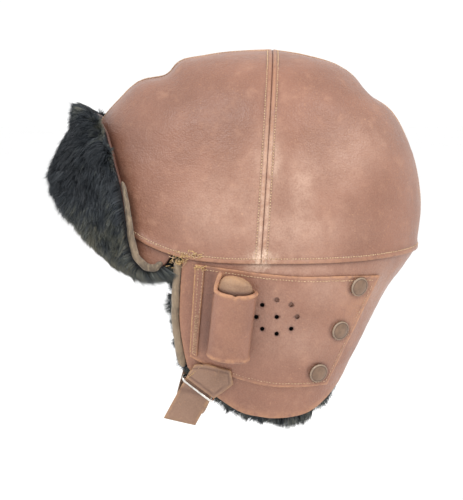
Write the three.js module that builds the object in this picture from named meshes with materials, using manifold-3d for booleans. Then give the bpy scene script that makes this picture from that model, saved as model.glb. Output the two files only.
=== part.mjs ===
// Leather flying helmet with a turned-up fur brow flap, ear flaps, tube pockets and a chin strap.
// Millimetres, +Z up. The wearer looks along -Y and the wearer's left ear is on +X.
// The origin is on the inside of the crown, at its highest point.

import * as THREE from "three";
import { mergeVertices } from "three/addons/utils/BufferGeometryUtils.js";
import Module from "manifold-3d";

const wasm = await Module();
wasm.setup();

// Driving dimensions of the leather shell
const leather = 2;
const gap = 0.3;
const halfWidth = 89;
const crownFront = 125;
const crownBack = 103;
const crownFrontDrop = 84;
const crownSideDrop = 136;
const crownBackDrop = 132;
const flapDrop = 105;
const napeDrop = 62.6;
const planPower = 2.3;
const seamSlant = 3.6;
const seamBehind = 2.5;
const dentDepth = 4.5;

// Brow flap
const foldRadius = 3.5;
const foldDepth = 8;
const foldSideDepth = 15;
const browRise = 41;
const browSideRise = 52;
const cornerRound = 14;
const browColumns = 16;
const browSteps = 10;
const foldStart = 0.1;
const foldEnd = 0.5;
const meridianBulge = 1.12;
const furPad = 7.5;
const lockLength = 17;
const lockRadius = 7;
const cutEdgeRadius = 1.9;

// Ear flap pieces
const panelLeather = 1.5;
const panelSeat = 0.5;
const liningThickness = 5;
const liningSeat = 0.5;
const liningOverhang = 2;
const edgeRollWidth = 4.6;
const edgeRollThickness = 5;
const weltWidth = 6.5;
const weltLeather = 1.2;
const holeDiameter = 2.8;
const holeRingAlong = 13.2;
const holeRingHigh = 11.1;
const snapDiameter = 12.4;
const snapHeight = 2.8;

// Tube pocket
const tubeLength = 48;
const tubeWidth = 27.5;
const tubeDepth = 16;
const tubeLean = 6;
const tubeTilt = 4;
const tubeWall = 1.8;
const tubeSeat = 0.7;
const plugRise = 9;
const plugDepthInside = 22;

// Chin strap, tab and wire loop
const strapWidth = 20;
const strapLeather = 1.5;
const strapSlant = 28;
const strapTail = 26;
const strapSag = 24;
const strapTurnUnderTab = 7;
const strapSewnEnd = 13;
const loopStart = 9;
const tailRelax = 2.5;
const tailSkew = 0.288;
const tabLeather = 1.6;
const tabStep = 0.45;
const wireDiameter = 1.8;
const wireSlant = 38;
const wireSlack = 1;

const apex = leather;
const seamZ = apex - crownSideDrop;
const panelOut = panelSeat + panelLeather;
const degree = Math.PI / 180;

// Meridians of the crown from the apex (t 0) to its lower seam (t 1), as shares of its reaches and drops
const crownRows = [
  { t: 0, front: 0, frontDrop: 0, side: 0, sideDrop: 0, back: 0, backDrop: 0 },
  { t: 0.125, front: 0.164, frontDrop: 0.01, side: 0.262, sideDrop: 0.015, back: 0.22, backDrop: 0.027 },
  { t: 0.25, front: 0.328, frontDrop: 0.038, side: 0.511, sideDrop: 0.068, back: 0.432, backDrop: 0.076 },
  { t: 0.375, front: 0.49, frontDrop: 0.1, side: 0.713, sideDrop: 0.173, back: 0.624, backDrop: 0.17 },
  { t: 0.5, front: 0.64, frontDrop: 0.202, side: 0.857, sideDrop: 0.32, back: 0.782, backDrop: 0.284 },
  { t: 0.625, front: 0.773, frontDrop: 0.348, side: 0.939, sideDrop: 0.485, back: 0.898, backDrop: 0.44 },
  { t: 0.75, front: 0.892, frontDrop: 0.542, side: 0.98, sideDrop: 0.654, back: 0.971, backDrop: 0.61 },
  { t: 0.875, front: 0.956, frontDrop: 0.745, side: 0.999, sideDrop: 0.827, back: 1.002, backDrop: 0.8 },
  { t: 1, front: 1, frontDrop: 1, side: 0.994, sideDrop: 1, back: 0.972, backDrop: 1 },
];

// Reaches of the ear flaps and neck piece from the seam (t 0) down to the hem (t 1)
const skirtRows = [
  { t: 0, front: 1, side: 0.994, back: 0.972 },
  { t: 0.15, front: 0.995, side: 0.98, back: 0.907 },
  { t: 0.33, front: 0.985, side: 0.955, back: 0.823 },
  { t: 0.6, front: 0.97, side: 0.9, back: 0.721 },
  { t: 0.8, front: 0.955, side: 0.83, back: 0.65 },
  { t: 1, front: 0.94, side: 0.73, back: 0.573 },
  { t: 1.1, front: 0.93, side: 0.67, back: 0.535 },
];

// Dents (depth above 0) and bulges of the crown, with their place, their spread and a share of the dent depth
const dents = [
  { azimuth: 0, t: 0.455, wide: 34, high: 0.06, depth: 1.05 },
  { azimuth: 0, t: 0.36, wide: 34, high: 0.05, depth: -0.3 },
  { azimuth: 0, t: 0.56, wide: 30, high: 0.06, depth: -0.25 },
  { azimuth: 180, t: 0.385, wide: 30, high: 0.07, depth: 0.95 },
  { azimuth: 62, t: 0.66, wide: 16, high: 0.14, depth: 0.4 },
  { azimuth: 118, t: 0.6, wide: 18, high: 0.12, depth: 0.35 },
  { azimuth: 140, t: 0.86, wide: 16, high: 0.08, depth: 0.4 },
];

// Front edge of the ear flap as a share of the front reach, and how far down the hem lies ahead of the ear
const flapFrontRows = [
  { t: 0, reach: 0.452 },
  { t: 0.2, reach: 0.468 },
  { t: 0.4, reach: 0.478 },
  { t: 0.6, reach: 0.462 },
  { t: 0.7, reach: 0.445 },
];
const hemRows = [
  { reach: 0, down: 1 },
  { reach: 0.13, down: 0.973 },
  { reach: 0.2, down: 0.935 },
  { reach: 0.3, down: 0.858 },
  { reach: 0.4, down: 0.757 },
  { reach: 0.445, down: 0.7 },
];

// How far the fold has come from its middle depth (0) to its side depth (1), and the fur pad's thickness
const foldRows = [
  { azimuth: 0, toSide: 0 },
  { azimuth: 25, toSide: 0.15 },
  { azimuth: 45, toSide: 0.9 },
  { azimuth: 52, toSide: 1.05 },
  { azimuth: 57, toSide: 0.8 },
  { azimuth: 61, toSide: -0.3 },
];
const furRows = [
  { w: 0, pad: 0.5 },
  { w: 0.1, pad: 0.55 },
  { w: 0.3, pad: 0.8 },
  { w: 0.5, pad: 1 },
  { w: 0.75, pad: 1.25 },
  { w: 1, pad: 0.8 },
];

// Side ends of the brow flap, from its sewn edge (w 0) round the fold to its top edge (w 1)
const browEndRows = [
  { w: 0, azimuth: 61 },
  { w: 0.1, azimuth: 59 },
  { w: 0.3, azimuth: 55 },
  { w: 0.5, azimuth: 51 },
  { w: 0.75, azimuth: 47 },
  { w: 1, azimuth: 40 },
];

// Top and bottom edges of the ear panel: share of its length, and share of the flap's drop
const panelTopRows = [
  { u: 0, down: 0.012 },
  { u: 0.17, down: 0.037 },
  { u: 0.36, down: 0.066 },
  { u: 0.57, down: 0.086 },
  { u: 0.81, down: 0.088 },
  { u: 1, down: 0.095 },
];
const panelBottomRows = [
  { u: 0, down: 0.59 },
  { u: 0.12, down: 0.643 },
  { u: 0.34, down: 0.723 },
  { u: 0.57, down: 0.772 },
  { u: 0.74, down: 0.782 },
  { u: 1, down: 0.778 },
];
const panelEnds = { topFront: 0.382, bottomFront: 0.412, topBack: 0.687, bottomBack: 0.353 };
const snapPlaces = [
  { u: 0.903, v: 0.093 },
  { u: 0.906, v: 0.488 },
  { u: 0.887, v: 0.87 },
];
const tubeFoot = { ahead: 0.209, down: 0.576 };
const holeCentre = { behind: 0.041, down: 0.336 };
const holeAngles = [0, 45, 90, 135, 180, 225, 270, 315];
const throughAngles = [135, 180, 225, 270, 315];

// The cut across the front lower corner of the ear flap, where the wire loop lies
const cutMiddle = { ahead: 0.3685, down: 0.789 };

// Corners of the strap tab, in mm across the strap and up it from the middle of the wire loop's bar
const tabFoot = [
  { u: 0, across: -9.7, up: 3.9 },
  { u: 1, across: 11.8, up: 0.2 },
];
const tabHead = [
  { u: 0, across: -9.3, up: 13.6 },
  { u: 0.25, across: -2.6, up: 17.5 },
  { u: 0.75, across: 12.5, up: 21.5 },
  { u: 1, across: 18.3, up: 13.8 },
];

const brownLeather = new THREE.MeshStandardMaterial({ color: "#a0705c", roughness: 0.55, metalness: 0 });
const innerLeather = new THREE.MeshStandardMaterial({ color: "#966a55", roughness: 0.6, metalness: 0 });
const tanSkin = new THREE.MeshStandardMaterial({ color: "#a8977c", roughness: 0.85, metalness: 0 });
const plugLeather = new THREE.MeshStandardMaterial({ color: "#b58a68", roughness: 0.6, metalness: 0 });
const blackFur = new THREE.MeshStandardMaterial({ color: "#1d2226", roughness: 0.9, metalness: 0 });
const snapEnamel = new THREE.MeshStandardMaterial({ color: "#7d6a5b", roughness: 0.3, metalness: 0.4 });
const brightWire = new THREE.MeshStandardMaterial({ color: "#d9d6cf", roughness: 0.2, metalness: 1 });

const helmet = new THREE.Group();

function lerp(from, to, share) {
  return from + (to - from) * share;
}

// Smooth curve through the rows of a table, read at one value of its first column
function readTable(rows, key, column, at) {
  const last = rows.length - 1;
  let i = 0;
  while (i < last - 1 && at > rows[i + 1][key]) {
    i += 1;
  }
  const slope = (k) => {
    const low = Math.max(k - 1, 0);
    const high = Math.min(k + 1, last);
    return (rows[high][column] - rows[low][column]) / (rows[high][key] - rows[low][key]);
  };
  const step = rows[i + 1][key] - rows[i][key];
  const f = Math.min(Math.max((at - rows[i][key]) / step, 0), 1);
  const f2 = f * f;
  const f3 = f2 * f;
  const start = rows[i][column] * (2 * f3 - 3 * f2 + 1) + rows[i + 1][column] * (3 * f2 - 2 * f3);
  return start + step * (slope(i) * (f3 - 2 * f2 + f) + slope(i + 1) * (f3 - f2));
}

function readLine(rows, key, column, at) {
  let i = 0;
  while (i < rows.length - 2 && at > rows[i + 1][key]) {
    i += 1;
  }
  const f = (at - rows[i][key]) / (rows[i + 1][key] - rows[i][key]);
  return lerp(rows[i][column], rows[i + 1][column], Math.min(Math.max(f, 0), 1));
}

// Plan section: shares of the reach ahead (or behind, below 0) and across at an azimuth from the front
function planShares(azimuth) {
  const c = Math.cos(azimuth);
  const s = Math.sin(azimuth);
  const m = (Math.abs(c) ** planPower + Math.abs(s) ** planPower) ** (-1 / planPower);
  return { ahead: c * m, across: s * m };
}

const frontBlend = 3.4;
const backBlend = 3;

// Outer face of the crown without its dents for t up to 1, and of the skirt below it for t from 1 to 2
function smoothShell(azimuth, t) {
  const { ahead, across } = planShares(azimuth);
  const rows = t <= 1 ? crownRows : skirtRows;
  const at = t <= 1 ? t : t - 1;
  const reach = (column) => readTable(rows, "t", column, at);
  const below = Math.max(t - 1, 0);
  const drop = (column) => readTable(crownRows, "t", column, Math.min(t, 1));
  const sideDrop = crownSideDrop * drop("sideDrop") + below * flapDrop;
  const frontDrop = crownFrontDrop * drop("frontDrop") + below * flapDrop;
  const backDrop = crownBackDrop * drop("backDrop") + below * napeDrop;
  const weight = Math.abs(ahead) ** (ahead > 0 ? frontBlend : backBlend);
  const endDrop = ahead > 0 ? frontDrop : backDrop;
  const endReach = ahead > 0 ? crownFront * reach("front") : crownBack * reach("back");
  return new THREE.Vector3(
    halfWidth * reach("side") * across,
    -endReach * ahead,
    apex - lerp(sideDrop, endDrop, weight),
  );
}

function dentAt(azimuth, t) {
  let sum = 0;
  for (const dent of dents) {
    const turn = Math.abs(THREE.MathUtils.euclideanModulo(Math.abs(azimuth) / degree + 180, 360) - 180);
    const sideways = (turn - dent.azimuth) / dent.wide;
    const upwards = (t - dent.t) / dent.high;
    sum += dent.depth * dentDepth * Math.exp(-sideways * sideways - upwards * upwards);
  }
  return sum;
}

const heart = new THREE.Vector3(0, 0, -0.6 * crownSideDrop);

function shell(azimuth, t) {
  const point = smoothShell(azimuth, t);
  const outwards = point.clone().sub(heart).normalize();
  return point.addScaledVector(outwards, -dentAt(azimuth, t));
}

function normalOf(point, u, v) {
  const h = 1e-3;
  const u0 = Math.max(u - h, 0);
  const u1 = Math.min(u + h, 1);
  const v0 = Math.max(v - h, 0);
  const v1 = Math.min(v + h, 1);
  const du = point(u1, v).sub(point(u0, v));
  const dv = point(u, v1).sub(point(u, v0));
  return dv.cross(du).normalize();
}

// Normal laid level, so that two rims meet edge to edge at the crown's seam
function levelled(normal) {
  return normal.setZ(0).normalize();
}

// Closes two grids of points, an outer and an inner one, into one body
function closeGrids(outer, inner, wrapped) {
  const columns = outer.length;
  const rows = outer[0].length;
  const positions = [];
  for (const grid of [outer, inner]) {
    for (const column of grid) {
      for (const point of column) {
        positions.push(point.x, point.y, point.z);
      }
    }
  }
  const index = [];
  const at = (face, i, j) => face * columns * rows + (i % columns) * rows + j;
  const quad = (a, b, c, d) => index.push(a, b, c, a, c, d);
  const spans = wrapped ? columns : columns - 1;
  for (let i = 0; i < spans; i += 1) {
    for (let j = 0; j < rows - 1; j += 1) {
      quad(at(0, i, j), at(0, i, j + 1), at(0, i + 1, j + 1), at(0, i + 1, j));
      quad(at(1, i, j), at(1, i + 1, j), at(1, i + 1, j + 1), at(1, i, j + 1));
    }
    quad(at(0, i, 0), at(0, i + 1, 0), at(1, i + 1, 0), at(1, i, 0));
    quad(at(0, i + 1, rows - 1), at(0, i, rows - 1), at(1, i, rows - 1), at(1, i + 1, rows - 1));
  }
  if (!wrapped) {
    for (let j = 0; j < rows - 1; j += 1) {
      quad(at(0, 0, j + 1), at(0, 0, j), at(1, 0, j), at(1, 0, j + 1));
      quad(at(0, spans, j), at(0, spans, j + 1), at(1, spans, j + 1), at(1, spans, j));
    }
  }
  const geometry = new THREE.BufferGeometry();
  geometry.setAttribute("position", new THREE.Float32BufferAttribute(positions, 3));
  geometry.setIndex(index);
  return tidy(geometry);
}

// Merges shared vertices and drops triangles that have shrunk to a line
function tidy(geometry) {
  geometry.deleteAttribute("normal");
  geometry.deleteAttribute("uv");
  const merged = mergeVertices(geometry, 1e-4);
  const old = merged.index.array;
  const kept = [];
  for (let i = 0; i < old.length; i += 3) {
    const [a, b, c] = [old[i], old[i + 1], old[i + 2]];
    if (a !== b && b !== c && c !== a) {
      kept.push(a, b, c);
    }
  }
  merged.setIndex(kept);
  return merged;
}

// Thickens a surface point(u, v) from one offset to another along its normal, which faces v cross u:
// outwards where u runs towards the wearer's left and back, and v runs down
function thickSheet(columns, rows, point, innerOffset, outerOffset, levelTop = false) {
  const offset = (value, u, v) => (typeof value === "function" ? value(u, v) : value);
  const outer = [];
  const inner = [];
  for (let i = 0; i <= columns; i += 1) {
    const outerColumn = [];
    const innerColumn = [];
    for (let j = 0; j <= rows; j += 1) {
      const u = i / columns;
      const v = j / rows;
      const normal = levelTop && j === 0 ? levelled(normalOf(point, u, v)) : normalOf(point, u, v);
      outerColumn.push(point(u, v).addScaledVector(normal, offset(outerOffset, u, v)));
      innerColumn.push(point(u, v).addScaledVector(normal, offset(innerOffset, u, v)));
    }
    outer.push(outerColumn);
    inner.push(innerColumn);
  }
  return closeGrids(outer, inner, false);
}

function toSolid(geometry) {
  const ready = tidy(geometry.clone());
  return new wasm.Manifold(new wasm.Mesh({
    numProp: 3,
    vertProperties: new Float32Array(ready.attributes.position.array),
    triVerts: new Uint32Array(ready.index.array),
  }));
}

function toGeometry(solid) {
  const mesh = solid.getMesh();
  const geometry = new THREE.BufferGeometry();
  geometry.setAttribute("position", new THREE.BufferAttribute(mesh.vertProperties, 3));
  geometry.setIndex(new THREE.BufferAttribute(mesh.triVerts, 1));
  return geometry;
}

function mirrored(geometry) {
  const copy = geometry.clone().scale(-1, 1, 1);
  const index = copy.index.array;
  for (let i = 0; i < index.length; i += 3) {
    [index[i], index[i + 1]] = [index[i + 1], index[i]];
  }
  return copy;
}

function addPiece(name, geometry, material) {
  const mesh = new THREE.Mesh(geometry, material);
  mesh.name = name;
  helmet.add(mesh);
}

function addPair(name, geometry, material) {
  addPiece(`${name}_left`, geometry, material);
  addPiece(`${name}_right`, mirrored(geometry), material);
}

// Even, repeatable scatter between 0 and 1
function scatter(seed) {
  const value = Math.sin(seed * 12.9898) * 43758.5453;
  return value - Math.floor(value);
}

// Crown: one dome, parted along the middle and from ear to ear
function addCrown() {
  const columns = 36;
  const rows = 10;
  const point = (u, v) => shell(u * 2 * Math.PI, Math.max(v, 1e-4));
  const outer = [];
  const inner = [];
  for (let i = 0; i < columns; i += 1) {
    const outerColumn = [];
    const innerColumn = [];
    for (let j = 0; j <= rows; j += 1) {
      const u = i / columns;
      const v = j / rows;
      const slanted = j === 0 ? new THREE.Vector3(0, 0, 1) : normalOf(point, Math.max(u, 1e-3), v);
      const normal = j === rows ? levelled(slanted) : slanted;
      const place = j === 0 ? new THREE.Vector3(0, 0, apex) : point(u, v);
      outerColumn.push(place.clone());
      innerColumn.push(place.addScaledVector(normal, -leather));
    }
    outer.push(outerColumn);
    inner.push(innerColumn);
  }
  const dome = toSolid(closeGrids(outer, inner, true));
  const reach = 2 * (crownFront + crownBack);
  for (const [lengthways, ahead] of [["front", -1], ["back", 1]]) {
    for (const [side, across] of [["left", 1], ["right", -1]]) {
      const block = new THREE.BoxGeometry(reach, reach, 2 * reach);
      block.translate(across * (reach / 2 + gap / 2), ahead * (reach / 2 + gap / 2), 0);
      block.rotateX(-seamSlant * degree);
      block.translate(0, seamBehind, 0);
      const quarter = dome.intersect(toSolid(block));
      addPiece(`crown_${lengthways}_${side}`, toGeometry(quarter), brownLeather);
    }
  }
}

// Azimuth whose share of the reach ahead has the given value
function azimuthAt(ahead) {
  const across = (1 - Math.abs(ahead) ** planPower) ** (1 / planPower);
  return Math.atan2(across, ahead);
}

function hemAt(azimuth) {
  const { ahead } = planShares(azimuth);
  return ahead > 0 ? readTable(hemRows, "reach", "down", ahead) : 1;
}

// Left half of the skirt, from the front edge of the ear flap (u 0) to the middle of the nape (u 1)
function skirt(u, v, overhang = 0) {
  const hemAzimuth = lerp(azimuthAt(flapFrontRows.at(-1).reach), Math.PI, u);
  const below = v * (hemAt(hemAzimuth) + overhang / flapDrop);
  const front = azimuthAt(readTable(flapFrontRows, "t", "reach", below));
  const point = smoothShell(lerp(front, Math.PI, u), 1 + below);
  point.x = gap / 2 + point.x * (1 - gap / 2 / halfWidth);
  return point;
}

// Outer face of the skirt at a place given by its y and z
function skirtX(y, z) {
  let t = (seamZ - z) / flapDrop;
  let share = 0;
  const ahead = y < 0;
  for (let i = 0; i < 8; i += 1) {
    const end = ahead
      ? crownFront * readTable(skirtRows, "t", "front", t)
      : crownBack * readTable(skirtRows, "t", "back", t);
    share = Math.min(Math.abs(y) / end, 0.98);
    const weight = share ** (ahead ? frontBlend : backBlend);
    const top = lerp(crownSideDrop, ahead ? crownFrontDrop : crownBackDrop, weight);
    const length = lerp(flapDrop, ahead ? flapDrop : napeDrop, weight);
    t = Math.max((apex - z - top) / length, 0);
  }
  const across = (1 - share ** planPower) ** (1 / planPower);
  return halfWidth * readTable(skirtRows, "t", "side", t) * across;
}

function skirtNormal(y, z) {
  const h = 0.5;
  const slopeY = (skirtX(y + h, z) - skirtX(y - h, z)) / (2 * h);
  const slopeZ = (skirtX(y, z + h) - skirtX(y, z - h)) / (2 * h);
  return new THREE.Vector3(1, -slopeY, -slopeZ).normalize();
}

function onSkirt(y, z, out = 0) {
  return new THREE.Vector3(skirtX(y, z), y, z).addScaledVector(skirtNormal(y, z), out);
}

// Straight rods along X that cut the listening holes
function holeRod(angle, radiusShare) {
  const y = crownBack * holeCentre.behind + radiusShare * holeRingAlong * Math.cos(angle * degree);
  const z = seamZ - flapDrop * holeCentre.down + radiusShare * holeRingHigh * Math.sin(angle * degree);
  const rod = new THREE.CylinderGeometry(holeDiameter / 2, holeDiameter / 2, 4 * panelOut + 4 * leather, 8);
  rod.rotateZ(Math.PI / 2);
  rod.translate(skirtX(y, z), y, z);
  return toSolid(rod);
}

function addSides() {
  const top = 2 * gap / flapDrop;
  const point = (u, v) => skirt(u, lerp(top, 1, v));
  let side = toSolid(thickSheet(16, 8, point, -leather, 0, true));
  side = side.subtract(holeRod(0, 0));
  for (const angle of throughAngles) {
    side = side.subtract(holeRod(angle, 1));
  }
  addPair("side", toGeometry(side), brownLeather);
}

// Fur lining inside the ear flap, its rim of locks fused on
function addLinings() {
  const reach = 0.66;
  const top = 0.06;
  const overhang = (u) => lerp(-liningOverhang, liningOverhang, THREE.MathUtils.smoothstep(u, 0.12, 0.24));
  const point = (u, v) => skirt(u * reach, lerp(top, 1, v), overhang(u * reach));
  const outside = -leather - liningSeat;
  let lining = toSolid(thickSheet(11, 6, point, outside - liningThickness, outside));
  const middle = outside - liningThickness / 2;
  const rim = [];
  for (let i = 0; i < 9; i += 1) {
    rim.push({ u: lerp(0.3, 0.97, i / 8), v: 0.985, along: scatter(i) - 0.5, down: 1 });
  }
  for (let i = 0; i < 5; i += 1) {
    rim.push({ u: 0.02, v: lerp(0.1, 0.75, i / 4), along: -0.6, down: 0.5 });
  }
  rim.forEach((lock, i) => {
    const normal = normalOf(point, lock.u, lock.v);
    const base = point(lock.u, lock.v).addScaledVector(normal, middle);
    const downwards = point(lock.u, 1).sub(point(lock.u, 0.9)).normalize();
    const rearwards = downwards.clone().cross(normal).normalize();
    const away = downwards.multiplyScalar(lock.down).addScaledVector(rearwards, lock.along);
    away.addScaledVector(normal, lock.down < 1 ? -0.8 : 0);
    const size = liningThickness * (1.5 + 0.5 * scatter(i + 40));
    lining = lining.add(lockSolid(base, away.normalize(), size, liningThickness / 2.3));
  });
  addPair("ear_lining", toGeometry(lining), blackFur);
}

// One lock of fur: a five-sided cone standing on its base point
function lockSolid(base, direction, length, radius) {
  const cone = new THREE.ConeGeometry(radius, length, 5, 1);
  cone.translate(0, length / 2, 0);
  cone.applyQuaternion(new THREE.Quaternion().setFromUnitVectors(new THREE.Vector3(0, 1, 0), direction));
  cone.translate(base.x, base.y, base.z);
  return toSolid(cone);
}

// Middle surface of the turned-up brow flap: down from the crown's seam, round the fold and up outside
function brow(u, w) {
  const share = 2 * u - 1;
  const azimuth = share * readTable(browEndRows, "w", "azimuth", w) * degree;
  const edge = smoothShell(azimuth, 1);
  const above = smoothShell(azimuth, 1 - 1e-3);
  const downwards = edge.clone().sub(above).normalize();
  const beside = smoothShell(azimuth + 1e-3, 1).sub(smoothShell(azimuth - 1e-3, 1));
  const outwards = downwards.clone().cross(beside).normalize();
  const toSide = readTable(foldRows, "azimuth", "toSide", Math.abs(azimuth) / degree);
  const depth = lerp(foldDepth, foldSideDepth, toSide);
  const inside = -leather / 2;
  const start = 2 * gap;
  if (w < foldStart) {
    const down = lerp(start, depth, w / foldStart);
    return edge.addScaledVector(downwards, down).addScaledVector(outwards, inside);
  }
  if (w < foldEnd) {
    const turn = Math.PI * (w - foldStart) / (foldEnd - foldStart);
    const out = inside + foldRadius * (1 - Math.cos(turn));
    const down = depth + foldRadius * Math.sin(turn);
    return edge.addScaledVector(downwards, down).addScaledVector(outwards, out);
  }
  const rounding = cornerRound * Math.abs(share) ** 8;
  const rise = lerp(browRise, browSideRise, share * share) - rounding;
  const up = lerp(-depth, rise, (w - foldEnd) / (1 - foldEnd));
  const out = inside + 2 * foldRadius;
  if (up <= 0) {
    return edge.addScaledVector(downwards, -up).addScaledVector(outwards, out);
  }
  const t = 1 - up / meridianLength(azimuth);
  return smoothShell(azimuth, t).addScaledVector(shellNormal(azimuth, t), out);
}

// Length of the crown's meridian at an azimuth, from the apex to its lower seam
function meridianLength(azimuth) {
  const ahead = Math.max(planShares(azimuth).ahead, 0);
  const front = Math.hypot(crownFront, crownFrontDrop);
  const side = Math.hypot(halfWidth, crownSideDrop);
  return meridianBulge * lerp(side, front, ahead);
}

function shellNormal(azimuth, t) {
  const h = 1e-3;
  const down = smoothShell(azimuth, Math.min(t + h, 1)).sub(smoothShell(azimuth, t - h));
  const along = smoothShell(azimuth + h, t).sub(smoothShell(azimuth - h, t));
  return down.cross(along).normalize();
}

function addBrowFlap() {
  addPiece("front_flap", thickSheet(browColumns, browSteps, brow, -leather / 2, leather / 2), innerLeather);
}

// Fur of the brow flap: a pad over its outer face and round its fold, with locks fused on
function addBrowFur() {
  const clear = -leather / 2 - gap;
  const pad = (u, w) => furPad * readTable(furRows, "w", "pad", w) * (1 - 0.35 * Math.abs(2 * u - 1) ** 6);
  let fur = toSolid(thickSheet(browColumns, browSteps, brow, (u, w) => clear - pad(u, w), clear));
  const locksAlong = 9;
  const locksUp = 4;
  for (let i = 0; i < locksAlong; i += 1) {
    for (let j = 0; j < locksUp; j += 1) {
      const seed = i * locksUp + j;
      const u = lerp(0.05, 0.95, (i + scatter(seed)) / locksAlong);
      const w = lerp(0.3, 0.97, (j + 0.3 * scatter(seed + 99)) / (locksUp - 0.7));
      const normal = normalOf(brow, u, w).negate();
      const base = brow(u, w).addScaledVector(normal, -clear + 0.4 * pad(u, w));
      const away = normal.clone().multiplyScalar(0.8);
      away.z -= 0.35 + 0.5 * scatter(seed + 7) - (j === locksUp - 1 ? 0.9 : 0);
      away.x += 0.5 * (scatter(seed + 21) - 0.5);
      const length = lockLength * (0.8 + 0.4 * scatter(seed + 33));
      fur = fur.add(lockSolid(base, away.normalize(), length, lockRadius));
    }
  }
  const leatherRoom = toSolid(thickSheet(browColumns, browSteps, brow, clear, leather / 2));
  addPiece("front_fur", toGeometry(fur.subtract(leatherRoom)), blackFur);
}

function circleShape(radius, sides) {
  const shape = new THREE.Shape();
  for (let i = 0; i < sides; i += 1) {
    const angle = 2 * Math.PI * i / sides;
    const place = [radius * Math.cos(angle), radius * Math.sin(angle)];
    if (i === 0) {
      shape.moveTo(...place);
    } else {
      shape.lineTo(...place);
    }
  }
  return shape;
}

function rollAlong(points, radius, sides, steps) {
  const extrudePath = new THREE.CatmullRomCurve3(points);
  return tidy(new THREE.ExtrudeGeometry(circleShape(radius, sides), { steps, extrudePath }));
}

// Rolled cut edge at each side end of the brow flap
function addFlapEdges() {
  const step = 0.01;
  const points = [];
  for (let w = 0.2; w <= 0.985; w += 0.087) {
    const along = brow(1, w + step).sub(brow(1, w - step));
    const beyond = normalOf(brow, 1, w).cross(along).normalize();
    points.push(brow(1, w).addScaledVector(beyond, 2 * gap + cutEdgeRadius));
  }
  addPair("flap_edge", rollAlong(points, cutEdgeRadius, 6, 12), tanSkin);
}

// Rolled skin edge along the front of the ear flap
function addEdgeRolls() {
  const radius = edgeRollWidth / 2;
  const step = 0.01;
  const points = [];
  for (let i = 0; i <= 7; i += 1) {
    const v = lerp(0.07, 0.93, i / 7);
    const edge = skirt(0, v);
    const normal = normalOf(skirt, 0, v);
    const beyond = skirt(0, v + step).sub(skirt(0, v - step)).cross(normal).normalize();
    edge.addScaledVector(beyond, gap + radius);
    points.push(edge.addScaledVector(normal, -leather / 2 - (edgeRollThickness - edgeRollWidth)));
  }
  addPair("edge_roll", rollAlong(points, radius, 6, 12), tanSkin);
}

// Ear panel point: u from its front edge to its back edge, v from its top to its bottom
function panelPlace(u, v) {
  const front = -crownFront * lerp(panelEnds.topFront, panelEnds.bottomFront, v);
  const back = crownBack * lerp(panelEnds.topBack, panelEnds.bottomBack, v);
  const top = readLine(panelTopRows, "u", "down", u);
  const bottom = readLine(panelBottomRows, "u", "down", u);
  return { y: lerp(front, back, u), z: seamZ - flapDrop * lerp(top, bottom, v) };
}

function onPanel(u, v, out) {
  const { y, z } = panelPlace(u, v);
  return onSkirt(y, z, out);
}

function addPanels() {
  const point = (u, v) => onPanel(u, v, 0);
  let panel = toSolid(thickSheet(12, 7, point, panelSeat, panelOut));
  panel = panel.subtract(holeRod(0, 0));
  for (const angle of holeAngles) {
    panel = panel.subtract(holeRod(angle, 1));
  }
  addPair("ear_panel", toGeometry(panel), brownLeather);
}

function addWelts() {
  const share = weltWidth / (crownFront * panelEnds.topFront + crownBack * panelEnds.topBack);
  const point = (u, v) => onPanel(share * u, lerp(0.02, 0.95, v), 0);
  const low = panelOut + gap;
  addPair("welt", thickSheet(1, 8, point, low, low + weltLeather), brownLeather);
}

// Frame on the ear panel for the tube pocket: foot, axis up the tube, and outward direction
function tubeFrame() {
  const y = -crownFront * tubeFoot.ahead;
  const z = seamZ - flapDrop * tubeFoot.down;
  const out = panelOut + tubeSeat + tubeDepth / 2;
  const foot = onSkirt(y, z, out);
  const lean = tubeLean * degree;
  const headY = y + tubeLength * Math.sin(lean);
  const headZ = z + tubeLength * Math.cos(lean);
  const head = onSkirt(headY, headZ, out + tubeLength * Math.sin(tubeTilt * degree));
  const axis = head.sub(foot).normalize();
  const outwards = skirtNormal(y, z);
  const across = axis.clone().cross(outwards).normalize();
  outwards.copy(across).cross(axis);
  return { foot, matrix: new THREE.Matrix4().makeBasis(across, axis, outwards).setPosition(foot) };
}

// Lathe profile squeezed to the tube's depth and stood on the tube's frame
function tubePiece(profile, sides) {
  const lathe = new THREE.LatheGeometry(profile.map(([x, y]) => new THREE.Vector2(x, y)), sides);
  lathe.scale(1, 1, tubeDepth / tubeWidth);
  return tidy(lathe.applyMatrix4(tubeFrame().matrix));
}

function addTubes() {
  const radius = tubeWidth / 2;
  const inner = radius - tubeWall;
  const rim = 0.5;
  const sleeve = [
    [0, 0],
    [0.93 * radius, 0],
    [radius, 0.06 * tubeLength],
    [0.97 * radius, 0.5 * tubeLength],
    [radius, 0.93 * tubeLength],
    [radius + rim, 0.98 * tubeLength],
    [radius, tubeLength],
    [inner, tubeLength],
    [inner - rim, 0.9 * tubeLength],
    [inner - rim, tubeWall],
    [0, tubeWall],
  ];
  const fit = inner - rim - 2 * gap;
  const foot = tubeLength - plugDepthInside;
  const plug = [
    [0, foot],
    [fit, foot],
    [fit, tubeLength],
    [0.86 * fit, tubeLength + 0.6 * plugRise],
    [0.5 * fit, tubeLength + 0.93 * plugRise],
    [0, tubeLength + plugRise],
  ];
  addPair("tube_sleeve", tubePiece(sleeve, 14), brownLeather);
  addPair("tube_plug", tubePiece(plug, 12), plugLeather);
}

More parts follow.
